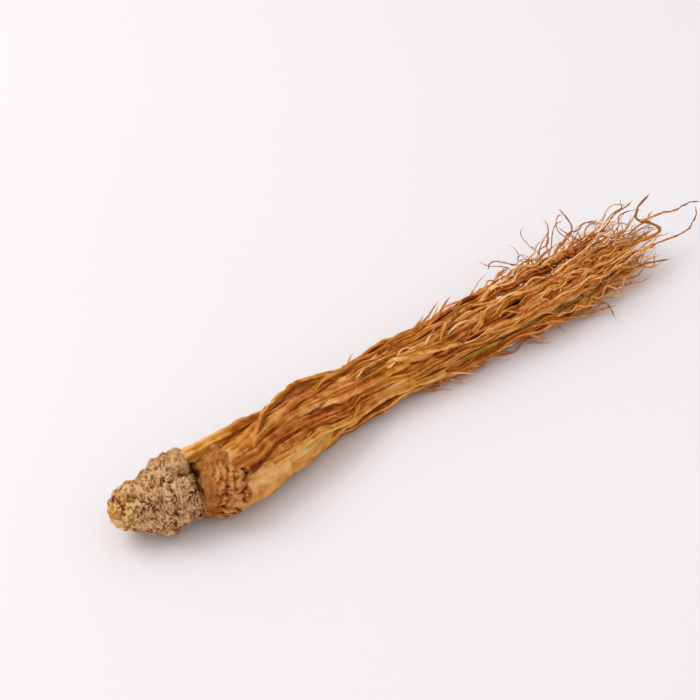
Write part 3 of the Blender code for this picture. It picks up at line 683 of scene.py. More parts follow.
def root_skin():
    """Shrunken skin of the lateral roots: lengthwise fibres 0.4 mm wide, and a faint waxy gloss."""
    material, tree = new_material(
        "dried_root_skin",
        {"Roughness": 0.6, "Specular Tint": linear("F0B478"), "Specular IOR Level": 0.22, "IOR": BARK_IOR},
    )
    grain, relief, tone = (
        add(tree, "ShaderNodeAttribute", attribute_name=name).outputs[output] for name, output in MARKS
    )
    along, drift, across = (
        add(tree, "ShaderNodeMapping", {"Vector": grain, "Scale": scale}).outputs[0]
        for scale in ((1.0, 1.0, 0.09), (1.0, 1.0, 0.4), (0.45, 0.45, 1.5))
    )
    fibre, patch, warmth, pucker = (
        add(tree, "ShaderNodeTexNoise", {"Vector": way, "Scale": 1 / size, **finish}).outputs[0]
        for way, size, finish in (
            (along, 0.38, {"Detail": 4.0, "Roughness": 0.7}),
            (drift, 3.0, {"Detail": 5.0, "Roughness": 0.65}),
            (drift, 11.0, {"Detail": 2.0}),
            (across, 0.8, {"Detail": 3.0}),
        )
    )
    # The relief darkens the colour in the fold hollows and pales it on the crests, partly the skin's own
    # colour and partly painted shade and painted highlight; between neighbouring roots it is painted shade
    level = total(tree, (tone, 0.35), (relief, 0.65), (fibre, 0.65), (patch, 0.5), (pucker, 0.2), -0.595)
    russet = add(tree, "ShaderNodeValToRGB", {0: level}, RUSSET_SKIN).outputs[0]
    ochre = add(tree, "ShaderNodeValToRGB", {0: level}, OCHRE_SKIN).outputs[0]
    # The paler a root is, the more of it is ochre
    yellow = add(tree, "ShaderNodeClamp", {0: total(tree, (warmth, 3.2), (tone, 2.0), -2.55)}).outputs[0]
    inputs = {"Factor": yellow, 6: russet, 7: ochre}
    colour = add(tree, "ShaderNodeMix", inputs, data_type="RGBA").outputs[2]
    height = total(tree, (fibre, 1.0), (pucker, 0.7), 0.0)
    bump = add(tree, "ShaderNodeBump", {"Strength": 1.0, "Distance": 0.0005, "Height": height})
    return dress(material, colour, bump)


def hair_skin():
    """Thin dry rootlets: the same skin, greyer and darker towards their ends."""
    shading = {"Roughness": 0.68, "Specular IOR Level": 0.25, "IOR": BARK_IOR}
    material, tree = new_material("wiry_rootlet_skin", shading)
    tone = add(tree, "ShaderNodeAttribute", attribute_name="tone").outputs["Fac"]
    spot = add(tree, "ShaderNodeTexCoord").outputs["Object"]
    inputs = {"Vector": spot, "Scale": 1 / 0.0025, "Detail": 4.0, "Roughness": 0.65}
    patch = add(tree, "ShaderNodeTexNoise", inputs).outputs[0]
    level = total(tree, (tone, 0.75), (patch, 0.95), -0.27)
    colour = add(tree, "ShaderNodeValToRGB", {0: level}, HAIR_SKIN).outputs[0]
    bump = add(tree, "ShaderNodeBump", {"Strength": 0.6, "Distance": 0.0003, "Height": patch})
    return dress(material, colour, bump)


def studio_paper():
    """Matte white paper sweep under the root."""
    material, tree = new_material("white_studio_paper", {"Roughness": 0.9})
    spot = add(tree, "ShaderNodeTexCoord").outputs["Object"]
    inputs = {"Vector": spot, "Scale": 1 / 0.3, "Detail": 2.0}
    pulp = add(tree, "ShaderNodeTexNoise", inputs).outputs[0]
    return dress(material, add(tree, "ShaderNodeValToRGB", {0: pulp}, PAPER).outputs[0])


# Crown and collar

WHOLE_SIDES, WHOLE_STEP, WHOLE_TO = 320, 0.2, 50.0
CORE_RINGS, CORE_FROM, CORE_TO = 16, 52.0, 92.0
DOME_RINGS, DOME_RISE = 14, 0.9
COLLAR_COLOUR_FROM, COLOUR_CHANGE = 24.6, 2.0
CREASE_WIDTH, CREASE_DEPTH, FIRST_CREASE, OTHER_CREASES = 0.5, 0.5, 1.0, 0.25
SADDLE, TOP = 27.6, 1.6  # the saddle's place along, and the collar's top as an angle in radians

# The groove and the soft bark that fills its sides: along, width along, depth or height
GROOVE, FILLING = (25.3, 0.9, 1.0), (25.4, 1.9, 2.6)

# Where the collar is slimmer than its solid: along, width along, angle in radians, depth
SLIMMED = ((37.0, 5.5, 1.15, 1.5), (42.0, 4.5, 3.2, 1.4))


def crown_rings(settings):
    """(rings, relief, tone, grain) of crown, collar and the core that they send into the bundle."""
    along = np.append(np.arange(0.0, WHOLE_TO, WHOLE_STEP), np.linspace(CORE_FROM, CORE_TO, CORE_RINGS))
    line = np.column_stack((along, through(CENTRELINE, along)))
    side, up = frames(line, np.tile((0.0, 0.0, 1.0), (len(line), 1)))
    turn = np.arange(WHOLE_SIDES) * math.tau / WHOLE_SIDES
    way = np.cos(turn)[:, None] * side[:, None] + np.sin(turn)[:, None] * up[:, None]
    angle = np.arctan2(way[..., 2], way[..., 1])
    run = along[:, None] + 0 * angle
    radius = through(TRUNK, along) + bark_relief(run, angle)
    points = line[:, None] + radius[..., None] * way
    lift, smooth, crease = shoulders(points)
    fine, relief = wrinkles(points, run, angle * radius, radius, smooth, settings)
    points = points + (lift + fine - CREASE_DEPTH * crease)[..., None] * way
    # The crease round each shoulder is also painted darker: painted shade in the crease
    relief = np.clip(relief - 0.55 * crease, 0, 1)
    tone = rise(run + 1.6 * noise(points / 2.2), COLLAR_COLOUR_FROM, COLOUR_CHANGE)
    cut = np.clip((2.4 - run + 1.3 * noise(points / 1.1) - 1.5 * (1 + np.sin(angle))) / 1.2, 0, 1)
    tone = np.where(cut > 0, -cut, tone)
    # The tip closes in a low, crumbly dome
    share = np.linspace(0.0, 1.0, DOME_RINGS, endpoint=False)[1:, None, None]
    ahead = unit(line[1] - line[0])
    dome = line[0] + share * (points[0] - line[0]) - DOME_RISE * np.sqrt(1 - share**2) * ahead
    dome = dome - 0.35 * noise(dome / 0.9)[..., None] * ahead * np.minimum(1, 3 * (1 - share))
    rings = np.concatenate((dome, points))
    relief = np.concatenate((0.7 + share[..., 0] ** 2 * (relief[0] - 0.7), relief))
    tone = np.concatenate((np.tile(tone[0], (DOME_RINGS - 1, 1)), tone))
    return rings, relief, tone, rings


def shoulders(points):
    """How far the shoulders of old stalks lift the bark, how smooth they leave it, and their crease."""
    lift, crease, along = 0, 0, points[..., 0]
    for number, (at, angle, radius, sunk) in enumerate(SHOULDERS):
        turn = math.radians(angle)
        middle = np.array((at, *through(CENTRELINE, at)[0]))
        centre = middle + through(TRUNK, at)[0, 0] * np.array((0, math.cos(turn), math.sin(turn)))
        apart = np.linalg.norm((points - centre) / (1.15, 0.95, 0.95), axis=-1)
        lift = np.maximum(lift, np.sqrt(np.clip(radius**2 - apart**2, 0, None)) - sunk)
        edge = hump(apart, math.sqrt(radius**2 - sunk**2), CREASE_WIDTH)
        crease = np.maximum(crease, (OTHER_CREASES if number else FIRST_CREASE) * edge)
    # Those on the collar are lower, and aren't creased
    lift = np.clip(lift, 0, None) * (1 - 0.6 * rise(along, FLUTES_FROM, 4))
    crease = crease * np.clip(0.6 + 0.9 * noise(points / 3.5 + 70), 0, 1) * fall(along, 30, 4)
    return lift, np.clip(lift / 1.2, 0, 1), crease * np.clip(1 - lift / 1.5, 0, 1)


def wrinkles(points, along, arc, radius, smooth, settings):
    """(height, relief) of the fine bark: worm-like wrinkles on the crown, knobs and pits on the collar."""
    depth, pitch = settings.wrinkle_depth / MM, settings.wrinkle_pitch / MM
    angle = arc / np.maximum(radius, 1)
    warp = 2.6 * noise(points / 3.2) + 1.3 * noise(points / 1.2 + 40) + 0.5 * noise(points / 0.6 + 17)
    # The wrinkles that run round the crown are finer on the side that faces down
    worm, small = crests(along + warp, pitch), crests(along + 0.8 * warp, 0.55 * pitch)
    low = np.clip((-0.35 - np.sin(angle - 0.5)) / 0.5 + 0.9 * noise(points / 3.0 + 31), 0, 1)
    worm = worm + low * (0.25 + 0.75 * small - worm)
    cross = crests(arc + 2.6 * noise(points / 2.4 + 80) + 0.7 * along, 1.6 * pitch)
    # They open and close, and near the tip they break into pebbles
    tip = fall(along, 11.0, 5.0)
    crown = (0.68 - 0.2 * tip) * worm + (0.32 + 0.2 * tip) * cross
    crown = 1 - np.clip(0.7 + 0.7 * noise(points / 2.0 + 13), 0.15, 1.15) * (1 - crown)
    crown = crown + 0.22 * noise(points / 2.7 + 21) + 0.35 * tip * noise(points / 1.0 + 50)
    knob = crests(along + 0.45 * arc + 2.2 * noise(points / 4.0 + 9), 1.6 * pitch, 0.6)
    knot = crests(arc + 2.8 * noise(points / 3.0 + 20), 2.0 * pitch, 0.6)
    collar = 1 - np.clip(0.75 + 0.7 * noise(points / 3.0 + 3), 0.1, 1.3) * (1 - 0.75 * knob - 0.25 * knot)
    pits = rise(noise(points / 0.9 + 33), 0.3, 0.35)
    grit = 0.3 * noise(points / 0.65 + 60) + 0.16 * noise(points / 0.35 + 90)
    behind = rise(along, 24.0, 3.0)
    relief = (1 - behind) * crown + behind * collar + grit - 0.45 * pits
    relief = relief + 0.55 * smooth * (0.85 - relief)
    # The groove is open on top, and filled with soft bark at the sides
    above = np.clip(np.cos(angle - TOP), 0, 1) ** 4
    at, width, deep = GROOVE
    groove = deep * hump(along + 0.8 * noise(points / 2.5 + 5), at, width) * (0.35 + 0.65 * above)
    at, width, high = FILLING
    filled = high * hump(along, at, width) * (1 - above)
    slim = sum(
        deep * hump(along, at, width) * np.clip(np.cos(angle - side), 0, 1)
        for at, width, side, deep in SLIMMED
    )
    # A smooth saddle comes behind it, and the relief fades on top and again towards the roots
    saddle = np.clip(np.abs(along - SADDLE) / 2.6, 0.25, 1)
    ending = np.clip((41.5 - along) / 9.0, 0.08, 1)
    top = behind * hump(angle, TOP, 0.6)
    fade = np.clip(along / 5.0, 0.3, 1) * saddle * ending * (1 - 0.8 * top)
    height = depth * (relief - 0.75) * fade - groove + filled - slim
    calm = np.maximum(1 - saddle, np.maximum(0.7 * top, 0.6 * (1 - ending)))
    # The colour is made darker in the groove: painted shade in the recess
    return height, np.clip(relief + (0.72 - relief) * calm - 0.8 * groove, 0, 1)


# Lateral roots

LEADING_SIDES, LEADING_STEP = 42, 0.85
SKIN_SIDES, SKIN_STEP = 34, 1.0
THIN_SIDES, THIN_STEP = 16, 1.5
CROSSING_SIDES, CROSSING_RINGS = 16, 90
TAIL = 16.0  # a root thins to nothing over this much beyond its solid's end
BUTTRESSES_FROM, BUTTRESS, BUTTRESS_SINK = 31.0, 9.0, 2.6
CRUMPLE, CRUMPLED_FROM = 0.4, 140.0
GRAIN_SHIFT = 31.0  # from the pattern of one root's skin to the next one's
LEADING_TONES = (0.6, 0.98, 0.55, 0.5, 1.0, 0.45)  # how pale each leading root is

# How flat a root is, how deep its ridges are, how far it lies proud of the others and is raised in its
# first half, how thick it is there, and how far its flat side is rolled up
Looks = collections.namedtuple(
    "Looks", "flat ridges proud raised girth roll", defaults=(1.0, 0.0, 0.0, 1.0, 0.0)
)
SPECIAL = {
    0: Looks(1.1, ridges=0.8),
    1: Looks(1.35, ridges=0.3, proud=2.1, raised=1.8, roll=4.0),
    4: Looks(1.0, ridges=0.8, proud=1.6, raised=1.2, girth=0.62),
}


def folds(draw, along, turn):
    """Lengthwise ridges of a shrunken root, 0 to 1: sharp crests that drift, with hollows between."""
    height = 0
    for lobes, weight in ((1, 0.8), (2, 1.1), (3, 0.8), (5, 0.4), (8, 0.25)):
        drift, bend = draw.uniform(-0.008, 0.008), draw.uniform(0.1, 0.3)
        pitch, phases = draw.uniform(40, 90), draw.uniform(0, math.tau, 3)
        sway = drift * along + bend * wave(along, pitch, phases[:2])
        height = height + weight * np.sin(lobes * (turn + sway) + phases[2])
    crest = 1 - np.clip(np.abs(height) / 1.9, 0, 1) ** 0.75
    return crest * (0.85 + 0.15 * free_wave(draw, along, 23.0))


def root_rings(draw, number, points, radii, sides, flat, share, roll=0.0):
    """(rings, relief, grain) of one root with a shrunken, ridged skin round a line."""
    along = points[:, 0]
    out = np.zeros_like(points)
    out[:, 1:] = points[:, 1:] - through(CENTRELINE, along)
    side, up = frames(points, out + (0, 0, 1e-3 + roll))
    turn = np.arange(sides) * math.tau / sides
    relief = folds(draw, along[:, None], turn[None])
    reach = radii[:, None] * (1 + 0.45 * share - share * (1 - relief))
    across, above = flat * reach * np.cos(turn), reach * np.sin(turn) / flat
    rings = points[:, None] + across[..., None] * side[:, None] + above[..., None] * up[:, None]
    bumps = noise(rings / 1.7 + number)
    knobbly = 0.08 + 0.22 * fall(along, 38.0, 10.0)
    rings = rings + (bumps * (knobbly * radii)[:, None])[..., None] * unit(rings - points[:, None])
    grain = np.empty(rings.shape)
    grain[..., 0], grain[..., 1] = across + GRAIN_SHIFT * number, above
    grain[..., 2] = along[:, None]
    # The relief that colours it is softer on a smooth root, and dark between it and its neighbours: that
    # darkening of its sides and inner face is painted shade, and its outer crest is left lighter; its bumps
    # lighten and its dips darken the colour, partly painted shade
    relief = 0.7 + min(1.0, 2.9 * share) * (relief - 0.7) - 0.3 * (1 - np.sin(turn))
    return rings, np.clip(relief + 0.25 * bumps, 0, 1), grain


def lateral_rings(bundle, number, draw, sides, step, settings):
    """(rings, relief, grain) of one lateral root or branch."""
    track = bundle.tracks[number]
    count = int((track.end - track.start) / step)
    points, radii = bundle.root_line(number, count)
    if track.start > BUTTRESSES_FROM + 1 and track.host is None:
        # The root runs on over the collar as a low buttress that sinks into it
        middle = through(CENTRELINE, points[1, :1])[0]
        length = min(BUTTRESS, track.start - BUTTRESSES_FROM)
        back = np.arange(length, 0, -1.0)[:, None]
        beside = through(CENTRELINE, points[1, 0] - back[:, 0]) + points[1, 1:] - middle
        beside = beside - BUTTRESS_SINK * (back / length) ** 1.5 * unit(points[1, 1:] - middle)
        points = np.vstack((np.column_stack((points[1, 0] - back, beside)), points[1:]))
        radii = np.append(radii[1] * (1 - 0.5 * (back[:, 0] / length) ** 2), radii[1:])
    tail = np.arange(step, TAIL, step)
    sway = draw.uniform(-0.12, 0.12, 2)
    rest = np.column_stack((tail, sway[0] * tail, sway[1] * tail))
    rest[:, 1:] += 0.05 * tail[:, None] * shiver(draw, rest, 3.0)
    points = np.vstack((points, points[-1] + rest))
    radii = np.append(radii, radii[-1] * (1 - tail / TAIL) ** 0.8)
    # The ends are crumpled
    along = points[:, 0]
    crumple = CRUMPLE * rise(along, CRUMPLED_FROM, 40.0)
    points[:, 1:] += crumple[:, None] * shiver(draw, points, draw.uniform(0.7, 1.5, 2))
    # Some roots lie proud of their neighbours in their first half
    looks = SPECIAL.get(number, Looks(1 + 0.13 * (number % 4)))
    first = rise(along, track.start, 8) * fall(along, 90.0, 20)
    points[:, 1:] += looks.proud * first[:, None] * unit(points[:, 1:] - through(CENTRELINE, along))
    points[:, 2] += looks.raised * first
    points[:, 2] = np.maximum(points[:, 2], 0.3)
    radii = radii * (1 + (looks.girth - 1) * first)
    lump = 1 + 0.06 * free_wave(draw, along, 19.0) + 0.04 * free_wave(draw, along, 6.0)
    radii = np.maximum(radii * lump, 0.12)
    share = looks.ridges * settings.fold_share
    return root_rings(draw, number, points, radii, sides, looks.flat, share, looks.roll)


def crossing_rings(bundle, number, draw, settings):
    """(rings, relief, grain) of one thin root that crosses the bundle, with both ends sunk into it."""
    radius, route = CROSSING_ROOTS[number]
    points = bundle.over(route, CROSSING_RINGS)
    along, place = points[:, 0], np.arange(CROSSING_RINGS)
    points[:, 1] += 0.3 * free_wave(draw, along, 9.0)
    points[:, 2] += 0.25 * free_wave(draw, along, 6.0)
    sunk = np.clip(1 - np.minimum(place, place[::-1]) / 20, 0, 1) ** 1.3
    points[:, 1:] -= 4.5 * sunk[:, None] * unit(points[:, 1:] - through(CENTRELINE, along))
    radii = np.linspace(radius, CROSSING_TIP * radius, CROSSING_RINGS) * (1 - 0.8 * sunk)
    radii = radii * (1 + 0.14 * free_wave(draw, along, 8.0))
    share = 1.2 * settings.fold_share
    return root_rings(draw, 60 + number, points, radii, CROSSING_SIDES, 1.15, share)


# Wires: thin roots, rootlets and hairs that Geometry Nodes grow along lines

def wire_tree():
    """Lines with a radius at each point become closed tubes with ridged, slightly uneven skin."""
    tree = bpy.data.node_groups.new("roots_along_lines", "GeometryNodeTree")
    face = tree.interface
    face.new_socket("Lines", in_out="INPUT", socket_type="NodeSocketGeometry")
    for name, kind, value in (
        ("Ridges", "NodeSocketInt", 3),
        ("Ridge Depth", "NodeSocketFloat", 0.25),
        ("Unevenness", "NodeSocketFloat", 0.0001),
        ("Skin", "NodeSocketMaterial", None),
    ):
        socket = face.new_socket(name, in_out="INPUT", socket_type=kind)
        if value is not None:
            socket.default_value = value
    face.new_socket("Roots", in_out="OUTPUT", socket_type="NodeSocketGeometry")
    given = add(tree, "NodeGroupInput").outputs
    radius = add(tree, "GeometryNodeInputNamedAttribute", {"Name": "radius"}, data_type="FLOAT")
    curve = add(tree, "GeometryNodeMeshToCurve", {0: given["Lines"]})
    sway = add(tree, "ShaderNodeTexNoise", {"Scale": 90.0, "Detail": 0.0})
    twist = add(tree, "ShaderNodeMath", {0: sway.outputs[0], 1: 7.0}, operation="MULTIPLY")
    curve = add(tree, "GeometryNodeSetCurveTilt", {"Curve": curve.outputs[0], "Tilt": twist.outputs[0]})
    inner = add(tree, "ShaderNodeMath", {0: 1.0, 1: given["Ridge Depth"]}, operation="SUBTRACT")
    inputs = {"Points": given["Ridges"], "Inner Radius": inner.outputs[0], "Outer Radius": 1.0, "Twist": 0.0}
    ring = add(tree, "GeometryNodeCurveStar", inputs)
    inputs = {"Curve": curve.outputs[0], "Profile Curve": ring.outputs[0], "Scale": radius.outputs[0]}
    tubes = add(tree, "GeometryNodeCurveToMesh", {**inputs, "Fill Caps": True})
    bumps = add(tree, "ShaderNodeTexNoise", {"Scale": 700.0, "Detail": 1.0})
    level = add(tree, "ShaderNodeMath", {0: bumps.outputs[0], 1: 0.5}, operation="SUBTRACT")
    inputs = {0: level.outputs[0], 1: given["Unevenness"]}
    level = add(tree, "ShaderNodeMath", inputs, operation="MULTIPLY")
    inputs = {0: add(tree, "GeometryNodeInputNormal").outputs[0], "Scale": level.outputs[0]}
    offset = add(tree, "ShaderNodeVectorMath", inputs, operation="SCALE")
    moved = add(tree, "GeometryNodeSetPosition", {"Geometry": tubes.outputs[0], "Offset": offset.outputs[0]})
    whole = add(tree, "GeometryNodeRealizeInstances", {0: moved.outputs[0]})
    done = add(tree, "GeometryNodeSetMaterial", {"Geometry": whole.outputs[0], "Material": given["Skin"]})
    add(tree, "NodeGroupOutput", {0: done.outputs[0]})
    return tree


def grow(name, lines, ridges, ridge_depth, unevenness, skin):
    """One mesh of tubes along lines; each line is (points, radii, tone)."""
    mesh = bpy.data.meshes.new(name)
    points = np.vstack([line[0] for line in lines])
    radii = np.concatenate([line[1] for line in lines])
    points[:, 2] = np.maximum(points[:, 2], radii + unevenness / MM / 2)
    edges, first = [], 0
    for line in lines:
        edges += [(first + k, first + k + 1) for k in range(len(line[0]) - 1)]
        first += len(line[0])
    mesh.from_pydata(to_frame(points).tolist(), edges, [])
    tones = np.concatenate([np.broadcast_to(line[2], len(line[0])) for line in lines])
    for mark, values in (("radius", radii * MM), ("tone", tones)):
        store = mesh.attributes.new(mark, "FLOAT", "POINT")
        store.data.foreach_set("value", values)
    values = {"Ridges": ridges, "Ridge Depth": ridge_depth, "Unevenness": unevenness, "Skin": skin}
    return run_tree(mesh, wire_tree(), values)


def run_tree(mesh, tree, values):
    """The plain mesh that a tree makes of a mesh."""
    holder = bpy.data.objects.new("holder", mesh)
    bpy.context.scene.collection.objects.link(holder)
    modifier = holder.modifiers.new("grow", "NODES")
    modifier.node_group = tree
    for item in tree.interface.items_tree:
        if item.in_out == "INPUT" and item.name in values:
            modifier[item.identifier] = values[item.name]
    graph = bpy.context.evaluated_depsgraph_get()
    made = bpy.data.meshes.new_from_object(holder.evaluated_get(graph))
    holder.modifiers.clear()
    bpy.data.objects.remove(holder, do_unlink=True)
    made.shade_smooth()
    return made


REACH_BEYOND = np.array((6.0, 0.8, 0.3))  # how far a hair may pass the solid's box on each side
HAIR_SHARE = 0.72  # a hair's thickness, as a share of its solid's

# Fine roots at the back edge of the bundle: start, length, angle, lift
BACK_ROOTS = (
    (50, 42, 48, -0.6), (52, 40, 44, 0.3), (55, 36, 42, 1.0), (57, 33, 45, 1.6),
    (56, 34, 38, 0.6), (60, 40, 54, -0.8), (118, 40, 56, -0.8), (126, 44, 60, -1.6),
    (130, 42, 50, -1.2), (132, 44, 44, -0.8), (138, 40, 56, -2.4), (140, 38, 40, -0.6),
    (142, 40, 62, -0.9), (146, 44, 68, -2.2), (150, 42, 62, -0.9), (155, 40, 70, -1.6),
    (162, 38, 66, -0.9),
)


def tidy_ends(points, radii, start=1.0):
    """Radii that close to a point at the far end, and to a share of their size at the near one."""
    place = np.arange(len(points))
    near = np.minimum(1, start + (1 - start) * place / 6)
    return radii * near * np.minimum(1, (len(points) - 1 - place) / 6 + 0.12)


def inside(points):
    """Whether a line keeps within reach of the solid's own box."""
    low, high = (np.array(corner) / MM - (*TO_CENTRE, 0.0) for corner in CAD_BOX)
    return (points[:, 1:] > (low - REACH_BEYOND)[1:]).all() and (points < high + REACH_BEYOND).all()


def crossing_lines(bundle, draw, count):
    """The finest roots that lie over the bundle, and broken stubs of others."""
    lines = []
    # Some lie side by side at the back edge, where the thicker ones stand apart
    for start, length, angle, lift in BACK_ROOTS:
        steps = ((0, 8, -2.4), (0.35, 2, 0), (0.65, -3, 0), (1, 6, -2.4))
        route = [(start + share * length, angle + bend, lift + drop) for share, bend, drop in steps]
        points = bundle.over(route, 40)
        points[:, 1:] += 0.25 * shiver(draw, points, draw.uniform(1.4, 3.4))
        radii = tidy_ends(points, np.full(40, draw.uniform(0.5, 0.8)), 0.3)
        lines.append((points, radii, draw.uniform(0.3, 0.6)))
    while len(lines) < count:
        start, length = 50 + 135 * draw.uniform() ** 0.6, draw.uniform(14, 44)
        angle, swing = draw.uniform(0, 360), draw.uniform(-45, 45)
        lift = draw.uniform(-2.4, 0.7)
        route = (
            (start, angle, -0.6),
            (start + 0.3 * length, angle + 0.4 * swing, lift),
            (start + 0.65 * length, angle + 0.65 * swing, lift),
            (start + length, angle + swing, -0.6),
        )
        points = bundle.over(route, 26)
        points[:, 1:] += 0.3 * shiver(draw, points, draw.uniform(1.4, 3.4))
        radii = np.full(26, draw.uniform(0.22, 0.62))
        if inside(points):
            lines.append((points, tidy_ends(points, radii, 0.4), draw.uniform(0.4, 0.95)))
    for number in range(3 * count // 2):
        # Two stubs in three crowd the frayed end
        along, angle, turned = draw.uniform(60, 165), draw.uniform(0, 360), draw.uniform(-9, 9)
        if number % 3:
            along, turned = draw.uniform(160, 200), draw.uniform(-30, 30)
        length = draw.uniform(1.6, 6.0)
        ends = (along, angle, -0.8), (along + length, angle + turned, draw.uniform(0.2, 1.6))
        points = bundle.over((ends[0], (along + 0.5 * length, angle, 0.1), ends[1]), 9)
        if inside(points):
            radii = tidy_ends(points, np.full(9, draw.uniform(0.22, 0.5)), 0.8)
            lines.append((points, radii, draw.uniform(0.35, 1.0)))
    return lines


def rootlet_lines(bundle, draw, count):
    """The rootlets that are in the solid, then finer and wavier ones round them."""
    lines = []
    for rootlet in bundle.rootlets:
        points, radii = bundle.rootlet_line(rootlet, 50)
        run = np.linspace(0, 1, 50)[:, None]
        points[:, 1:] += 0.4 * run * shiver(draw, points, draw.uniform(1.6, 3.0))
        lines.append((points, tidy_ends(points, radii), draw.uniform(0.35, 0.9)))
    while len(lines) < ROOTLETS + count:
        host = int(draw.integers(len(bundle.tracks)))
        start = min(draw.uniform(84, 198), bundle.tracks[host].end - 5.0)
        swing = draw.uniform(-2.5, 6.0)
        length, radius = draw.uniform(10, 40), draw.uniform(0.22, 0.55)
        made = Rootlet(host, start, length, swing, radius, draw.uniform(0, math.tau, 4))
        points, radii = bundle.rootlet_line(made, 44)
        run = np.linspace(0, 1, 44)[:, None]
        curl = draw.uniform(0.4, 1.5) * shiver(draw, points, draw.uniform(1.0, 3.2))
        points[:, 1:] += run * curl
        if inside(points):
            lines.append((points, tidy_ends(points, radii), draw.uniform(0.2, 1.0)))
    return lines


def hair_lines(bundle, draw, count):
    """The long hairs of the solid, then finer ones that leave the end of the bundle."""
    lines = []
    for radius, route in HAIRS:
        points, radii = bundle.hair_line(radius, route, 90)
        run = np.linspace(0, 1, 90)[:, None]
        points[:, 1:] += 0.4 * run * shiver(draw, points, 1.7)
        points += 0.3 * run * np.column_stack([noise(points / 1.6 + shift) for shift in (3, 14, 25)])
        radii = radii * HAIR_SHARE * (1 + 0.28 * free_wave(draw, 90 * run[:, 0], 13.0))
        lines.append((points, tidy_ends(points, radii), np.linspace(0.7, 0.0, 90)))
    while len(lines) < len(HAIRS) + count:
        # One in four stands off the top of the frayed end, sideways and back
        start = np.array((draw.uniform(150, 203), draw.uniform(-10, 9), draw.uniform(2, 10)))
        aim = np.array((draw.uniform(8, 34), draw.uniform(-10, 10), draw.uniform(-5, 9)))
        if len(lines) % 4 == 0:
            start = np.array((draw.uniform(170, 203), draw.uniform(0, 7), draw.uniform(8, 13)))
            aim = np.array((draw.uniform(-18, 20), draw.uniform(2, 15), draw.uniform(1, 12)))
        run = np.linspace(0, 1, 50)[:, None]
        points = start + run * aim
        points += run * (1.0, 3.2, 2.2) * np.sin(run * draw.uniform(3, 11, 3) + draw.uniform(0, math.tau, 3))
        points[:, 1:] += 0.3 * shiver(draw, points, 1.2)
        radii = np.full(50, draw.uniform(0.12, 0.27))
        if inside(points):
            tone = np.linspace(0.6, draw.uniform(-0.1, 0.35), 50)
            lines.append((points, tidy_ends(points, radii), tone))
    return lines


# Settings, operators and panel

def length_prop(name, description, default):
    return bpy.props.FloatProperty(
        name=name, description=description, default=default, unit="LENGTH", precision=5
    )


def count_prop(name, description, default):
    return bpy.props.IntProperty(name=name, description=description, default=default, min=0)


class AngelicaSettings(bpy.types.PropertyGroup):
    wrinkle_depth: length_prop("Wrinkle depth", "How deep the crown's wrinkles are", 0.00065)
    wrinkle_pitch: length_prop("Wrinkle pitch", "From one wrinkle of the crown to the next", 0.0016)
    fold_share: bpy.props.FloatProperty(
        name="Fold depth",
        description="How deep a root's folds are, as a share of its radius",
        default=0.34,
        min=0.0,
        max=0.7,
        subtype="FACTOR",
    )
    thin_roots: count_prop("Thin roots", "How many fine roots lie over the bundle", 110)
    rootlets: count_prop("Rootlets", "How many fine rootlets leave the roots", 260)
    hairs: count_prop("Hairs", "How many fine hairs leave the far end", 90)


class StageSettings(bpy.types.PropertyGroup):
    key_power: bpy.props.FloatProperty(
        name="Key light", description="Power of the large soft light", default=5.5, unit="POWER"
    )
    sky_strength: bpy.props.FloatProperty(
        name="Sky", description="Strength of the even light from all round", default=0.86
    )


# What the random draws of each group of pieces start from
LATERALS_SEED, THIN_ROOTS_SEED, ROOTLETS_SEED, HAIRS_SEED = 11, 12, 13, 14


BUNDLE_CACHE = []


def bundle():
    """The bundle, laid out once."""
    if not BUNDLE_CACHE:
        BUNDLE_CACHE.append(Bundle(np.random.default_rng(SEED)))
    return BUNDLE_CACHE[0]


def place_wires(name, lines, ridges, ridge_depth, unevenness):
    """Grows one piece along its lines and puts it in place."""
    skin = hair_skin()
    place(name, grow(name, lines, ridges, ridge_depth, unevenness, skin), skin)


class ANGELICA_OT_crown(bpy.types.Operator):
    """Adds the corky crown and the knobbly collar"""

    bl_idname = "angelica.crown"
    bl_label = "Crown and Collar"

    def execute(self, context):
        skin = Skin()
        skin.add(*crown_rings(context.scene.angelica))
        place("crown_and_collar", skin.mesh("crown"), corky_bark())
        return {"FINISHED"}


class ANGELICA_OT_laterals(bpy.types.Operator):
    """Adds the lateral roots and their branches"""

    bl_idname = "angelica.laterals"
    bl_label = "Lateral Roots"

    def execute(self, context):
        draw, settings = np.random.default_rng(LATERALS_SEED), context.scene.angelica
        leading, outer, inner = Skin(), Skin(), Skin()
        kinds = (
            (len(LEADING_ROOTS), leading, LEADING_SIDES, LEADING_STEP),
            (len(LEADING_ROOTS) + OUTER_ROOTS, outer, SKIN_SIDES, SKIN_STEP),
            (len(bundle().tracks), inner, THIN_SIDES, THIN_STEP),
        )
        for number in range(len(bundle().tracks)):
            skin, sides, step = next(kind[1:] for kind in kinds if number < kind[0])
            rings, relief, grain = lateral_rings(bundle(), number, draw, sides, step, settings)
            tone = LEADING_TONES[number] if number < len(LEADING_ROOTS) else draw.uniform(0.1, 0.9)
            if number == 0:
                # The root that starts behind the crown is yellow and pale there
                tone = tone + 0.7 * fall(rings[..., 0], 48.0, 14.0)
            skin.add(rings, relief, tone, grain)
        for number in range(len(CROSSING_ROOTS)):
            rings, relief, grain = crossing_rings(bundle(), number, draw, settings)
            inner.add(rings, relief, draw.uniform(0.6, 1.0), grain)
        material = root_skin()
        place("leading_roots", leading.mesh("leading"), material)
        place("lateral_roots", outer.mesh("laterals"), material)
        place("branch_roots", inner.mesh("branches"), material)
        return {"FINISHED"}


class ANGELICA_OT_thin_roots(bpy.types.Operator):
    """Adds the thin roots that lie over the bundle"""

    bl_idname = "angelica.thin_roots"
    bl_label = "Thin Roots"

    def execute(self, context):
        draw = np.random.default_rng(THIN_ROOTS_SEED)
        lines = crossing_lines(bundle(), draw, context.scene.angelica.thin_roots)
        place_wires("thin_roots", lines, 5, 0.2, 0.0003)
        return {"FINISHED"}


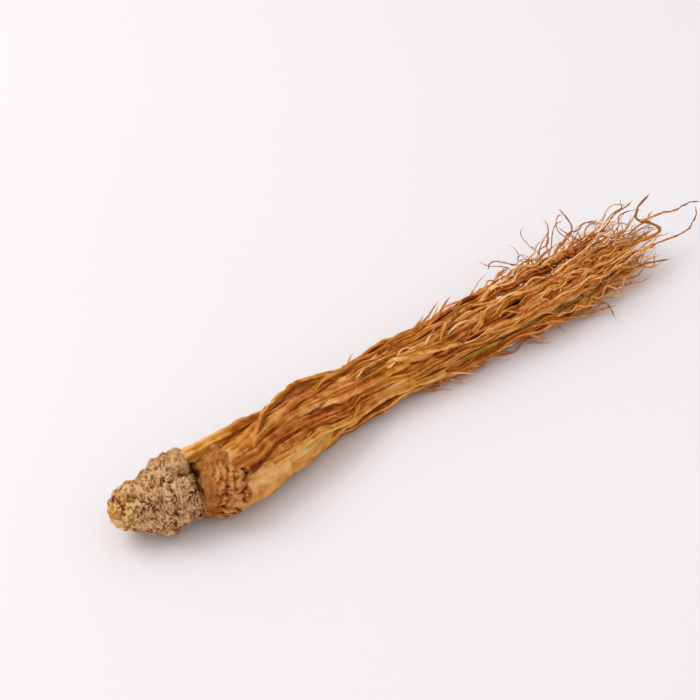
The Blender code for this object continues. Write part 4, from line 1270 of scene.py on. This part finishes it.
class ANGELICA_OT_rootlets(bpy.types.Operator):
    """Adds the rootlets of the frayed end"""

    bl_idname = "angelica.rootlets"
    bl_label = "Rootlets"

    def execute(self, context):
        draw = np.random.default_rng(ROOTLETS_SEED)
        lines = rootlet_lines(bundle(), draw, context.scene.angelica.rootlets)
        place_wires("rootlets", lines, 3, 0.3, 0.0003)
        return {"FINISHED"}


class ANGELICA_OT_hairs(bpy.types.Operator):
    """Adds the wiry hairs of the far end"""

    bl_idname = "angelica.hairs"
    bl_label = "Hairs"

    def execute(self, context):
        draw = np.random.default_rng(HAIRS_SEED)
        lines = hair_lines(bundle(), draw, context.scene.angelica.hairs)
        place_wires("hairs", lines, 3, 0.25, 0.0002)
        return {"FINISHED"}


# The camera, in millimetres and degrees, stands where the photo's stood
CAMERA_TARGET = (-23.9, 19.6, 8.0)
CAMERA_AZIMUTH, CAMERA_ELEVATION = -42.0, 40.0
CAMERA_DISTANCE, CAMERA_LENS = 558.9, 90.0

# The lamp and the floor, in metres
KEY_PLACE, KEY_SIZE, FLOOR_HALF = (-0.5, 0.55, 0.9), 0.7, 4


class ANGELICA_OT_stage(bpy.types.Operator):
    """Adds the floor, the lights and the camera"""

    bl_idname = "angelica.stage"
    bl_label = "Stage"

    def execute(self, context):
        scene, settings = context.scene, context.scene.angelica_stage
        mesh = bpy.data.meshes.new("floor")
        corners = [(FLOOR_HALF * x, FLOOR_HALF * y, 0) for x, y in ((-1, -1), (1, -1), (1, 1), (-1, 1))]
        mesh.from_pydata(corners, [], [(0, 1, 2, 3)])
        mesh.materials.append(studio_paper())
        floor = bpy.data.objects.new("floor", mesh)
        scene.collection.objects.link(floor)
        world = bpy.data.worlds.new("studio")
        world.use_nodes = True
        sky = world.node_tree.nodes["Background"]
        sky.inputs["Color"].default_value = linear("FFFCFB")
        sky.inputs["Strength"].default_value = settings.sky_strength
        scene.world = world
        lamp("key_light", KEY_PLACE, KEY_SIZE, settings.key_power)
        target = np.array(CAMERA_TARGET) * MM
        turn, tilt = math.radians(CAMERA_AZIMUTH), math.radians(CAMERA_ELEVATION)
        back = np.array((math.sin(turn) * math.cos(tilt), -math.cos(turn) * math.cos(tilt), math.sin(tilt)))
        data = bpy.data.cameras.new("camera")
        data.lens, data.sensor_width = CAMERA_LENS, 36.0
        data.clip_start, data.clip_end = 0.01, 20.0
        camera = bpy.data.objects.new("camera", data)
        scene.collection.objects.link(camera)
        camera.location = target + back * CAMERA_DISTANCE * MM
        camera.rotation_euler = Vector(back).to_track_quat("Z", "Y").to_euler()
        scene.camera = camera
        scene.view_settings.view_transform = "Standard"
        return {"FINISHED"}


def lamp(name, place_m, size, power):
    """A square soft light that faces the root."""
    data = bpy.data.lights.new(name, "AREA")
    data.size, data.energy = size, power
    light = bpy.data.objects.new(name, data)
    bpy.context.scene.collection.objects.link(light)
    light.location = place_m
    light.rotation_euler = Vector(place_m).to_track_quat("Z", "Y").to_euler()
    return light


OPERATORS = (
    ANGELICA_OT_stage,
    ANGELICA_OT_crown,
    ANGELICA_OT_laterals,
    ANGELICA_OT_thin_roots,
    ANGELICA_OT_rootlets,
    ANGELICA_OT_hairs,
)


class ANGELICA_PT_panel(bpy.types.Panel):
    bl_label = "Dried Angelica Root"
    bl_idname = "ANGELICA_PT_panel"
    bl_space_type = "VIEW_3D"
    bl_region_type = "UI"
    bl_category = "Angelica"

    def draw(self, context):
        column = self.layout.column()
        for settings in (context.scene.angelica, context.scene.angelica_stage):
            for name in settings.__annotations__:
                column.prop(settings, name)
        for operator in OPERATORS:
            column.operator(operator.bl_idname)


CLASSES = (AngelicaSettings, StageSettings, *OPERATORS, ANGELICA_PT_panel)


def register():
    for cls in CLASSES:
        bpy.utils.register_class(cls)
    bpy.types.Scene.angelica = bpy.props.PointerProperty(type=AngelicaSettings)
    bpy.types.Scene.angelica_stage = bpy.props.PointerProperty(type=StageSettings)


def unregister():
    del bpy.types.Scene.angelica_stage
    del bpy.types.Scene.angelica
    for cls in reversed(CLASSES):
        bpy.utils.unregister_class(cls)


def main():
    register()
    for operator in OPERATORS:
        group, name = operator.bl_idname.split(".")
        getattr(getattr(bpy.ops, group), name)()


if __name__ == "__main__":
    main()
